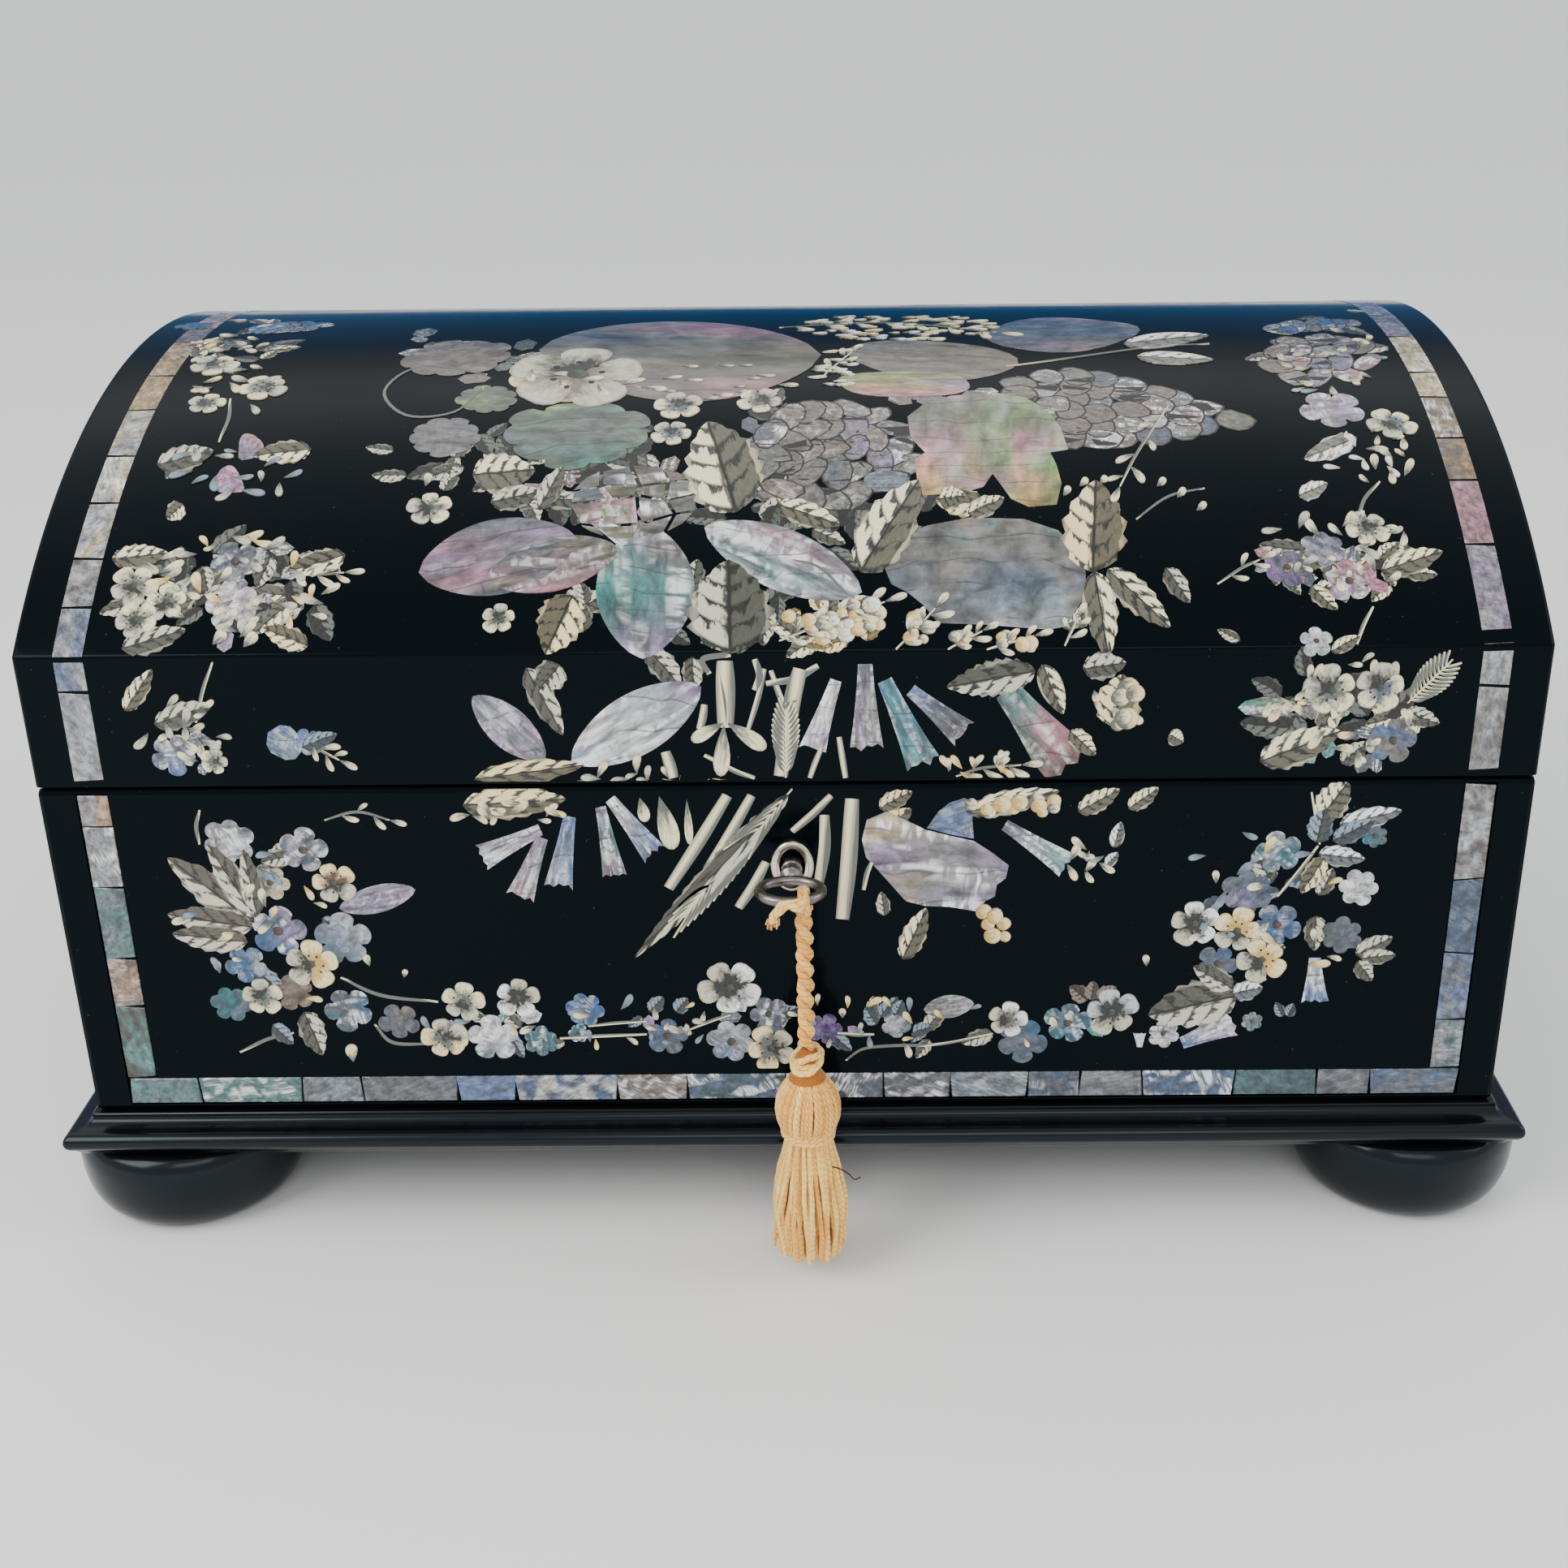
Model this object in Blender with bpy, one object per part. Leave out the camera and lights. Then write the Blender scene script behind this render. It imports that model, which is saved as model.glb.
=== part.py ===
"""Papier-mache sewing box: a hollow body, a hinged domed lid, pearl border bands, a moulded base on bun feet,
and a lock with its key and tassel.

Metres, +Z up, front towards -Y. Z = 0 is the plane that the feet stand on, X = 0 is the middle of the box,
and Y = 0 is the middle of the whole object, from the front of the key to its furthest point at the back.
"""

import math
import random

import bmesh
import bpy
from mathutils import Vector

# Box and lid
BOX_WIDTH = 0.300
BOX_DEPTH = 0.225
BODY_HEIGHT = 0.0756
LID_SIDE_HEIGHT = 0.0277
DOME_RISE = 0.043
WALL = 0.0055
FLOOR = 0.005
EDGE_RADIUS = 0.0012
SEAM = 0.0006
GAP = 0.0003

# Base and feet
MOULDING_OVERHANG = 0.0062
MOULDING_HEIGHT = 0.0084
MOULDING_STEP = 0.0008
NOSE_RADIUS = 0.0021
FOOT_HEIGHT = 0.0200
FOOT_RADIUS = 0.0245
FOOT_NECK_RADIUS = 0.0195
FOOT_SOLE_RADIUS = 0.0160
FOOT_END_INSET = 0.0135
FOOT_SIDE_INSET = 0.0175

# Pearl border bands
BAND_WIDTH = 0.0061
BAND_INSET = 0.0081
BAND_FOOT = 0.0018
BAND_THICKNESS = 0.0007
TILE_SHORTEST = 0.010
TILE_LONGEST = 0.022
JOINT_WIDTH = 0.0004
JOINT_DEPTH = 0.0003

# Lock, escutcheon and key
KEY_X = 0.0010
KEY_ABOVE_BASE = 0.0586
SHANK_RADIUS = 0.00185
COLLAR_RADIUS = 0.0024
BOW_CENTRE_REACH = 0.0135
BOW_HALF_WIDTH = 0.0072
BOW_HALF_LENGTH = 0.0057
BOW_WIRE_RADIUS = 0.00105
BIT_HEIGHT = 0.0052
BIT_LENGTH = 0.0034
BIT_THICKNESS = 0.0013
HOLE_HALF_WIDTH = 0.00245
HOLE_HALF_HEIGHT = 0.00375
ESCUTCHEON_ABOVE_BASE = 0.0578
ESCUTCHEON_RIM = 0.00195
ESCUTCHEON_RISE = 0.0013
LOCK_WIDTH = 0.038
LOCK_THICKNESS = 0.009
LOCK_BELOW_KEY = 0.010
LOCK_BELOW_SEAM = 0.0035
POCKET_RADIUS = 0.0064
POCKET_DEPTH = 0.0062

# Hinges
HINGE_LENGTH = 0.030
HINGE_FROM_END = 0.062
KNUCKLE_RADIUS = 0.0022
PIN_RADIUS = 0.0009
PIN_CLEARANCE = 0.00009
KNUCKLE_CLEARANCE = 0.0004
LEAF_THICKNESS = 0.0010
LEAF_SPACING = 0.0002
KNUCKLE_SHARE = 0.34

# Cord and tassel
TASSEL_X = 0.0037
STRAND_RADIUS = 0.00095
CORD_RADIUS = 0.0019
CORD_POINTS = 9
TASSEL_TOP = 0.0253
TASSEL_BOTTOM = -0.0235
HEAD_RADIUS = 0.0061
NECK_RADIUS = 0.0051
SKIRT_RADIUS = 0.0081

# How finely round forms are faceted
DOME_STEPS = 30
FILLET_STEPS = 3
TURNED_SIDES = 32
SMALL_SIDES = 20

# Heights of the joints between the pieces
FOOT_TOP = FOOT_HEIGHT
MOULDING_BOTTOM = FOOT_TOP + GAP
MOULDING_TOP = MOULDING_BOTTOM + MOULDING_HEIGHT
BODY_BOTTOM = MOULDING_TOP + GAP
BODY_TOP = BODY_BOTTOM + BODY_HEIGHT
LID_BOTTOM = BODY_TOP + SEAM
CREASE = LID_BOTTOM + LID_SIDE_HEIGHT
KEY_Z = BODY_BOTTOM + KEY_ABOVE_BASE

# The dome is one arc over the depth of the box
HALF_WIDTH = BOX_WIDTH / 2
HALF_DEPTH = BOX_DEPTH / 2
DOME_RADIUS = (HALF_DEPTH**2 + DOME_RISE**2) / (2 * DOME_RISE)
DOME_CENTRE = CREASE + DOME_RISE - DOME_RADIUS

# Depth: the object's middle lies between the front of the key and the furthest point at the back
HINGE_REACH = KNUCKLE_CLEARANCE + 2 * KNUCKLE_RADIUS
FRONT_REACH = max(BOW_CENTRE_REACH + BOW_HALF_LENGTH, MOULDING_OVERHANG, FOOT_RADIUS - FOOT_SIDE_INSET)
BACK_REACH = max(HINGE_REACH, MOULDING_OVERHANG, FOOT_RADIUS - FOOT_SIDE_INSET)
MIDDLE = (FRONT_REACH - BACK_REACH) / 2
FRONT = MIDDLE - HALF_DEPTH
BACK = MIDDLE + HALF_DEPTH
GROOVE_DEPTH = BAND_THICKNESS + GAP


def clear_scene():
    for thing in list(bpy.data.objects):
        bpy.data.objects.remove(thing)


def material(name, colour, roughness, metallic=0.0):
    made = bpy.data.materials.new(name)
    made.use_nodes = True
    shader = made.node_tree.nodes["Principled BSDF"]
    shader.inputs["Base Color"].default_value = (*colour, 1.0)
    shader.inputs["Roughness"].default_value = roughness
    shader.inputs["Metallic"].default_value = metallic
    return made


def make_object(name, bm, finish):
    """A mesh object at the world's origin, its faces turned outwards and its round faces smooth."""
    bmesh.ops.recalc_face_normals(bm, faces=bm.faces)
    mesh = bpy.data.meshes.new(name)
    bm.to_mesh(mesh)
    bm.free()
    mesh.shade_smooth()
    mesh.set_sharp_from_angle(angle=math.radians(35))
    made = bpy.data.objects.new(name, mesh)
    bpy.context.collection.objects.link(made)
    if finish:
        mesh.materials.append(finish)
    return made


def make_cutter(name, bm):
    made = make_object(name, bm, None)
    made.hide_render = True
    made.display_type = "WIRE"
    return made


def boolean(target, tool, operation="DIFFERENCE"):
    step = target.modifiers.new(tool.name, "BOOLEAN")
    step.operation = operation
    step.object = tool
    step.solver = "EXACT"


def round_edges(target, width):
    step = target.modifiers.new("round_edges", "BEVEL")
    step.width = width
    step.segments = 2
    step.limit_method = "ANGLE"
    step.angle_limit = math.radians(40)


def loft(rings, closed=False):
    """Skins matching rings of points; the ends are capped, or with closed the last ring meets the first."""
    bm = bmesh.new()
    made = [[bm.verts.new(p) for p in ring] for ring in rings]
    pairs = list(zip(made, made[1:]))
    if closed:
        pairs.append((made[-1], made[0]))
    for a, b in pairs:
        for i in range(len(a)):
            j = (i + 1) % len(a)
            bm.faces.new((a[i], a[j], b[j], b[i]))
    if not closed:
        bm.faces.new(made[0])
        bm.faces.new(list(reversed(made[-1])))
    return bm


def block(low, high):
    (x0, y0, z0), (x1, y1, z1) = low, high
    corners = [(x0, y0), (x1, y0), (x1, y1), (x0, y1)]
    return loft([[(x, y, z) for x, y in corners] for z in (z0, z1)])


def prism_x(outline, x0, x1):
    """A solid along X with an outline of (y, z) points."""
    return loft([[(x, y, z) for y, z in outline] for x in (x0, x1)])


def prism_z(outline, z0, z1):
    """A solid along Z with an outline of (x, y) points."""
    return loft([[(x, y, z) for x, y in outline] for z in (z0, z1)])


def oval(half_width, half_height, sides):
    angles = [2 * math.pi * i / sides for i in range(sides)]
    return [(half_width * math.cos(a), half_height * math.sin(a)) for a in angles]


def turned_z(profile, centre, sides=TURNED_SIDES):
    """A solid of revolution about a vertical axis, from (radius, z) points."""
    x, y = centre
    return loft([[(x + u, y + v, z) for u, v in oval(r, r, sides)] for r, z in profile])


def turned_y(profile, centre, sides=SMALL_SIDES):
    """A solid of revolution about an axis along Y, from (radius, y) points."""
    x, z = centre
    return loft([[(x + u, y, z + v) for u, v in oval(r, r, sides)] for r, y in profile])


def rod_x(radius, x0, x1, centre, sides=SMALL_SIDES):
    y, z = centre
    return prism_x([(y + u, z + v) for u, v in oval(radius, radius, sides)], x0, x1)


def wire_ring(centre, across, along, wire_radius, steps, sides):
    """A closed ring of round wire: its centre line is an oval with the half axes across and along."""
    normal = across.cross(along).normalized()
    rings = []
    for i in range(steps):
        a = 2 * math.pi * i / steps
        middle = centre + across * math.cos(a) + along * math.sin(a)
        forward = along * math.cos(a) - across * math.sin(a)
        side = forward.cross(normal).normalized()
        rings.append([middle + side * u + normal * v for u, v in oval(wire_radius, wire_radius, sides)])
    return loft(rings, closed=True)


# The lid's outline, seen from the end. It is measured by the distance along it from the front bottom edge.

CREASE_FILLET_Y = HALF_DEPTH - EDGE_RADIUS
CREASE_FILLET_Z = DOME_CENTRE + math.sqrt((DOME_RADIUS - EDGE_RADIUS) ** 2 - CREASE_FILLET_Y**2)
DOME_ANGLE = math.atan2(CREASE_FILLET_Y, CREASE_FILLET_Z - DOME_CENTRE)
SIDE_RUN = CREASE_FILLET_Z - LID_BOTTOM
FILLET_RUN = EDGE_RADIUS * (math.pi / 2 - DOME_ANGLE)
DOME_RUN = 2 * DOME_RADIUS * DOME_ANGLE
LID_RUN = 2 * (SIDE_RUN + FILLET_RUN) + DOME_RUN


def lid_point(run, inset=0.0):
    """The (y, z) of the lid's outline at a distance along it, moved inwards by inset."""
    if run > LID_RUN / 2:
        y, z = lid_point(LID_RUN - run, inset)
        return 2 * MIDDLE - y, z
    if run <= SIDE_RUN:
        return FRONT + inset, LID_BOTTOM + run
    if run <= SIDE_RUN + FILLET_RUN:
        turn = (run - SIDE_RUN) / EDGE_RADIUS
        reach = EDGE_RADIUS - inset
        y = FRONT + EDGE_RADIUS - reach * math.cos(turn)
        return y, CREASE_FILLET_Z + reach * math.sin(turn)
    turn = DOME_ANGLE - (run - SIDE_RUN - FILLET_RUN) / DOME_RADIUS
    reach = DOME_RADIUS - inset
    return MIDDLE - reach * math.sin(turn), DOME_CENTRE + reach * math.cos(turn)


def lid_runs():
    """Distances along the outline that keep every arc round."""
    dome_start = SIDE_RUN + FILLET_RUN
    front = [0.0] + [SIDE_RUN + FILLET_RUN * i / FILLET_STEPS for i in range(FILLET_STEPS)]
    dome = [dome_start + DOME_RUN * i / DOME_STEPS for i in range(DOME_STEPS + 1)]
    return front + dome + [LID_RUN - run for run in reversed(front)]


def make_lid(finish):
    outline = [lid_point(run) for run in lid_runs()]
    lid = make_object("lid", prism_x(outline, -HALF_WIDTH, HALF_WIDTH), finish)
    round_edges(lid, EDGE_RADIUS)
    inner_radius = DOME_RADIUS - WALL
    inner_half = HALF_DEPTH - WALL
    spread = math.asin(inner_half / inner_radius)
    turns = [spread * (1 - 2 * i / DOME_STEPS) for i in range(DOME_STEPS + 1)]
    inside = [(MIDDLE - inner_radius * math.sin(t), DOME_CENTRE + inner_radius * math.cos(t)) for t in turns]
    below = LID_BOTTOM - WALL
    inside = [(MIDDLE - inner_half, below), *inside, (MIDDLE + inner_half, below)]
    hollow = prism_x(inside, WALL - HALF_WIDTH, HALF_WIDTH - WALL)
    boolean(lid, make_cutter("cut_lid_hollow", hollow))
    return lid


def make_body(finish):
    low = (-HALF_WIDTH, FRONT, BODY_BOTTOM)
    body = make_object("body", block(low, (HALF_WIDTH, BACK, BODY_TOP)), finish)
    round_edges(body, EDGE_RADIUS)
    inner = HALF_WIDTH - WALL
    hollow = block((-inner, FRONT + WALL, BODY_BOTTOM + FLOOR), (inner, BACK - WALL, BODY_TOP + WALL))
    boolean(body, make_cutter("cut_body_hollow", hollow))
    z = BODY_BOTTOM + ESCUTCHEON_ABOVE_BASE
    hole = [[(KEY_X + u, y, z + v) for u, v in oval(HOLE_HALF_WIDTH, HOLE_HALF_HEIGHT, SMALL_SIDES)]
            for y in (FRONT - WALL, FRONT + 2 * WALL)]
    boolean(body, make_cutter("cut_keyhole", loft(hole)))
    return body


def moulding_profile():
    """(overhang, z) points, top to bottom: a small step, a cove, a round nose and a tuck under it."""
    nose_y = MOULDING_OVERHANG - NOSE_RADIUS
    nose_z = MOULDING_BOTTOM + 0.45 * MOULDING_HEIGHT
    cove_start = MOULDING_TOP - MOULDING_STEP
    cove_drop = cove_start - nose_z - NOSE_RADIUS
    points = [(MOULDING_STEP, MOULDING_TOP), (MOULDING_STEP, cove_start)]
    for i in range(1, 4):
        turn = math.pi / 2 * i / 4
        out = MOULDING_STEP + (nose_y - MOULDING_STEP) * (1 - math.cos(turn))
        points.append((out, cove_start - cove_drop * math.sin(turn)))
    for i in range(9):
        turn = math.radians(90 - 20 * i)
        points.append((nose_y + NOSE_RADIUS * math.cos(turn), nose_z + NOSE_RADIUS * math.sin(turn)))
    points.append((nose_y - NOSE_RADIUS * 0.4, MOULDING_BOTTOM))
    return points


def make_moulding(finish):
    rings = []
    for out, z in reversed(moulding_profile()):
        x, y0, y1 = HALF_WIDTH + out, FRONT - out, BACK + out
        rings.append([(-x, y0, z), (x, y0, z), (x, y1, z), (-x, y1, z)])
    return make_object("base_moulding", loft(rings), finish)


def foot_profile():
    """(radius, z) points of a squashed ball, from the flat sole to the neck under the moulding."""
    widest = 0.68 * FOOT_HEIGHT
    fullness = 2 / 2.5
    points = []
    for i in range(8):
        turn = math.pi / 2 * i / 7
        out = math.sin(turn) ** fullness
        up = math.cos(turn) ** fullness
        points.append((FOOT_SOLE_RADIUS + (FOOT_RADIUS - FOOT_SOLE_RADIUS) * out, widest * (1 - up)))
    for i in range(1, 5):
        turn = math.pi / 2 * i / 4
        out = math.cos(turn) ** fullness
        up = math.sin(turn) ** fullness
        radius = FOOT_NECK_RADIUS + (FOOT_RADIUS - FOOT_NECK_RADIUS) * out
        points.append((radius, widest + (FOOT_TOP - widest) * up))
    return points


def make_feet(finish):
    x = HALF_WIDTH - FOOT_END_INSET
    places = {
        "foot_front_left": (-x, FRONT + FOOT_SIDE_INSET),
        "foot_front_right": (x, FRONT + FOOT_SIDE_INSET),
        "foot_back_left": (-x, BACK - FOOT_SIDE_INSET),
        "foot_back_right": (x, BACK - FOOT_SIDE_INSET),
    }
    for name, place in places.items():
        make_object(name, turned_z(foot_profile(), place), finish)


def tile_joints(start, end, chance):
    """Places of the joints between the tiles of a band, each tile of its own length."""
    joints = []
    at = start + chance.uniform(TILE_SHORTEST, TILE_LONGEST)
    while at < end - TILE_SHORTEST / 2:
        joints.append(at)
        at += chance.uniform(TILE_SHORTEST, TILE_LONGEST)
    return joints


def strip_outline(place, start, end, stops, joints):
    """The outline of a band seen from its side: place(run, inset) gives its points; joints are notches."""
    half = JOINT_WIDTH / 2
    outer = [(start, 0.0)]
    within = [run for run in stops if start < run < end]
    for run in sorted(within + joints):
        if run in joints:
            outer += [(run - half, 0.0), (run - half, JOINT_DEPTH)]
            outer += [(run + half, JOINT_DEPTH), (run + half, 0.0)]
        elif all(abs(run - joint) > JOINT_WIDTH for joint in joints):
            outer.append((run, 0.0))
    outer.append((end, 0.0))
    inner = [(run, BAND_THICKNESS) for run in reversed([start, *within, end])]
    return [place(run, inset) for run, inset in outer + inner]


def groove_outline(place, start, end, stops):
    """The outline of the groove that a band lies in, with the gap below it and at its ends."""
    runs = [start - GAP, *[run for run in stops if start < run < end], end + GAP]
    outer = [place(run, -WALL / 4) for run in runs]
    return outer + [place(run, GROOVE_DEPTH) for run in reversed(runs)]


def make_lid_bands(lid, finish):
    stops = lid_runs()
    for side, name in ((-1, "left"), (1, "right")):
        chance = random.Random(f"lid {name}")
        x0, x1 = sorted((side * (HALF_WIDTH - BAND_INSET), side * (HALF_WIDTH - BAND_INSET - BAND_WIDTH)))
        start, end = EDGE_RADIUS, LID_RUN - EDGE_RADIUS
        joints = tile_joints(start, end, chance)
        outline = strip_outline(lid_point, start, end, stops, joints)
        make_object(f"lid_band_{name}", prism_x(outline, x0, x1), finish)
        groove = groove_outline(lid_point, start, end, stops)
        boolean(lid, make_cutter(f"cut_lid_band_{name}", prism_x(groove, x0 - GAP, x1 + GAP)))


def front_upright(run, inset):
    """A point on the body's front at a height: (y, z)."""
    return FRONT + inset, BODY_BOTTOM + run


def front_level(run, inset):
    """A point on the body's front at a distance across it: (x, y)."""
    return run, FRONT + inset


def make_body_bands(body, finish):
    outer = HALF_WIDTH - BAND_INSET
    sill = BAND_FOOT + BAND_WIDTH
    top = BODY_HEIGHT - EDGE_RADIUS
    for side, name in ((-1, "left"), (1, "right")):
        joints = tile_joints(sill + GAP, top, random.Random(f"body {name}"))
        x0, x1 = sorted((side * outer, side * (outer - BAND_WIDTH)))
        outline = strip_outline(front_upright, sill + GAP, top, [], joints)
        make_object(f"body_band_{name}", prism_x(outline, x0, x1), finish)
        groove = groove_outline(front_upright, sill - GAP, top, [])
        boolean(body, make_cutter(f"cut_body_band_{name}", prism_x(groove, x0 - GAP, x1 + GAP)))
    joints = tile_joints(-outer, outer, random.Random("body bottom"))
    outline = strip_outline(front_level, -outer, outer, [], joints)
    z0 = BODY_BOTTOM + BAND_FOOT
    make_object("body_band_bottom", prism_z(outline, z0, z0 + BAND_WIDTH), finish)
    groove = groove_outline(front_level, -outer, outer, [])
    boolean(body, make_cutter("cut_body_band_bottom", prism_z(groove, z0 - GAP, z0 + BAND_WIDTH + GAP)))


def make_escutcheon(finish):
    """A domed oval ring around the keyhole."""
    z = BODY_BOTTOM + ESCUTCHEON_ABOVE_BASE
    steps = 5
    section = [(0.0, 0.0)]
    for i in range(steps + 1):
        turn = math.pi * i / steps
        rise = ESCUTCHEON_RISE * (0.3 + 0.7 * math.sin(turn))
        section.append((ESCUTCHEON_RIM / 2 * (1 - math.cos(turn)), rise))
    section.append((ESCUTCHEON_RIM, 0.0))
    rings = []
    for out, rise in section:
        outline = oval(HOLE_HALF_WIDTH + out, HOLE_HALF_HEIGHT + out, TURNED_SIDES)
        rings.append([(KEY_X + u, FRONT - GAP - rise, z + v) for u, v in outline])
    return make_object("escutcheon", loft(rings, closed=True), finish)


def make_key(finish):
    bow_y = FRONT - BOW_CENTRE_REACH
    across = Vector((BOW_HALF_WIDTH - BOW_WIRE_RADIUS, 0, 0))
    along = Vector((0, BOW_HALF_LENGTH - BOW_WIRE_RADIUS, 0))
    neck = bow_y + BOW_HALF_LENGTH
    tip = FRONT + WALL + GAP + POCKET_DEPTH - 4 * GAP
    profile = [
        (SHANK_RADIUS * 0.8, neck - BOW_WIRE_RADIUS * 0.6),
        (COLLAR_RADIUS, neck),
        (COLLAR_RADIUS, neck + COLLAR_RADIUS / 3),
        (SHANK_RADIUS, neck + COLLAR_RADIUS / 2),
        (SHANK_RADIUS, tip - SHANK_RADIUS / 4),
        (SHANK_RADIUS * 0.75, tip),
    ]
    key = make_object("key", turned_y(profile, (KEY_X, KEY_Z)), finish)
    ring = wire_ring(Vector((KEY_X, bow_y, KEY_Z)), across, along, BOW_WIRE_RADIUS, TURNED_SIDES, 8)
    boolean(key, make_cutter("join_bow", ring), "UNION")
    half = BIT_THICKNESS / 2
    bit_end = tip - SHANK_RADIUS / 3
    bit = block((KEY_X - half, bit_end - BIT_LENGTH, KEY_Z - BIT_HEIGHT), (KEY_X + half, bit_end, KEY_Z))
    boolean(key, make_cutter("join_bit", bit), "UNION")
    return key


def make_lock(finish):
    """The lock's case on the inner side of the front wall, with the pocket that the key's bit turns in."""
    y0 = FRONT + WALL + GAP
    low = (KEY_X - LOCK_WIDTH / 2, y0, KEY_Z - LOCK_BELOW_KEY)
    high = (KEY_X + LOCK_WIDTH / 2, y0 + LOCK_THICKNESS, BODY_TOP - LOCK_BELOW_SEAM)
    lock = make_object("lock_case", block(low, high), finish)
    pocket = turned_y([(POCKET_RADIUS, y0 - WALL), (POCKET_RADIUS, y0 + POCKET_DEPTH)], (KEY_X, KEY_Z))
    boolean(lock, make_cutter("cut_lock_pocket", pocket))
    return lock


AXIS_Y = BACK + KNUCKLE_CLEARANCE + KNUCKLE_RADIUS
AXIS_Z = BODY_TOP + SEAM / 2


def make_leaf(name, x0, x1, low, high, knuckles, finish):
    """A hinge leaf let into the rim, with the knuckles that it carries on the hinge's axis."""
    leaf = make_object(name, block((x0, BACK - WALL + GAP, low), (x1, BACK, high)), finish)
    for index, (k0, k1) in enumerate(knuckles):
        tab = block((k0, BACK - WALL / 2, low), (k1, AXIS_Y, high))
        boolean(leaf, make_cutter(f"join_{name}_tab_{index}", tab), "UNION")
        barrel = rod_x(KNUCKLE_RADIUS, k0, k1, (AXIS_Y, AXIS_Z))
        boolean(leaf, make_cutter(f"join_{name}_barrel_{index}", barrel), "UNION")
    bore = rod_x(PIN_RADIUS + PIN_CLEARANCE, x0 - WALL, x1 + WALL, (AXIS_Y, AXIS_Z))
    boolean(leaf, make_cutter(f"cut_{name}_bore", bore))
    return leaf


def make_hinges(body, lid, finish):
    half = HINGE_LENGTH / 2
    knuckle = KNUCKLE_SHARE * HINGE_LENGTH
    leaf_out = LEAF_SPACING / 2
    for side, name in ((-1, "left"), (1, "right")):
        x = side * (HALF_WIDTH - HINGE_FROM_END)
        x0, x1 = x - half, x + half
        body_low = AXIS_Z - leaf_out - LEAF_THICKNESS
        lid_high = AXIS_Z + leaf_out + LEAF_THICKNESS
        outer = [(x0, x0 + knuckle - GAP / 2), (x1 - knuckle + GAP / 2, x1)]
        middle = [(x0 + knuckle + GAP / 2, x1 - knuckle - GAP / 2)]
        make_leaf(f"hinge_{name}_body_leaf", x0, x1, body_low, AXIS_Z - leaf_out, outer, finish)
        make_leaf(f"hinge_{name}_lid_leaf", x0, x1, AXIS_Z + leaf_out, lid_high, middle, finish)
        pin = rod_x(PIN_RADIUS, x0 - GAP, x1 + GAP, (AXIS_Y, AXIS_Z))
        make_object(f"hinge_{name}_pin", pin, finish)
        reach = (BACK - 2 * WALL, BACK + WALL)
        seat = block((x0 - GAP, reach[0], body_low - GAP), (x1 + GAP, reach[1], BODY_TOP + WALL))
        boolean(body, make_cutter(f"cut_body_seat_{name}", seat))
        seat = block((x0 - GAP, reach[0], LID_BOTTOM - WALL), (x1 + GAP, reach[1], lid_high + GAP))
        boolean(lid, make_cutter(f"cut_lid_seat_{name}", seat))


def bow_bar(x):
    """The middle of the bow's front bar at x, and the direction that it runs in."""
    half_width = BOW_HALF_WIDTH - BOW_WIRE_RADIUS
    half_length = BOW_HALF_LENGTH - BOW_WIRE_RADIUS
    turn = math.asin((x - KEY_X) / half_width)
    middle = Vector((x, FRONT - BOW_CENTRE_REACH - half_length * math.cos(turn), KEY_Z))
    return middle, Vector((half_width * math.cos(turn), half_length * math.sin(turn), 0)).normalized()


def make_tassel(finish):
    middle, along_bar = bow_bar(TASSEL_X)
    loop_radius = BOW_WIRE_RADIUS + GAP + STRAND_RADIUS
    across = along_bar.cross(Vector((0, 0, 1))) * loop_radius
    loop = wire_ring(middle, across, Vector((0, 0, loop_radius)), STRAND_RADIUS, SMALL_SIDES, 8)
    make_object("cord_loop", loop, finish)
    top = KEY_Z - loop_radius - STRAND_RADIUS - GAP
    bottom = BODY_BOTTOM + TASSEL_TOP + GAP
    line = bpy.data.curves.new("tassel_cord", "CURVE")
    line.dimensions = "3D"
    line.bevel_depth = CORD_RADIUS
    line.bevel_resolution = 2
    line.use_fill_caps = True
    run = line.splines.new("POLY")
    run.points.add(CORD_POINTS - 1)
    for i, point in enumerate(run.points):
        z = top + (bottom - top) * i / (CORD_POINTS - 1)
        point.co = (middle.x, middle.y, z, 1.0)
    line.materials.append(finish)
    cord = bpy.data.objects.new("tassel_cord", line)
    bpy.context.collection.objects.link(cord)
    make_object("tassel", turned_z(tassel_profile(), (middle.x, middle.y), SMALL_SIDES), finish)


def tassel_profile():
    """(radius, z) points of the tassel, from the cut ends of the skirt up to the knot."""
    foot = BODY_BOTTOM + TASSEL_BOTTOM
    tall = TASSEL_TOP - TASSEL_BOTTOM
    shares = [
        (SKIRT_RADIUS * 0.80, 0.0),
        (SKIRT_RADIUS * 0.97, 0.03),
        (SKIRT_RADIUS, 0.10),
        (SKIRT_RADIUS * 0.93, 0.25),
        (SKIRT_RADIUS * 0.84, 0.40),
        (NECK_RADIUS * 1.10, 0.56),
        (NECK_RADIUS, 0.61),
        (NECK_RADIUS * 1.04, 0.65),
        (HEAD_RADIUS * 0.97, 0.70),
        (HEAD_RADIUS, 0.77),
        (HEAD_RADIUS * 0.90, 0.85),
        (HEAD_RADIUS * 0.60, 0.905),
        (HEAD_RADIUS * 0.55, 0.93),
        (HEAD_RADIUS * 0.62, 0.96),
        (HEAD_RADIUS * 0.50, 1.0),
    ]
    return [(radius, foot + share * tall) for radius, share in shares]


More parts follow.
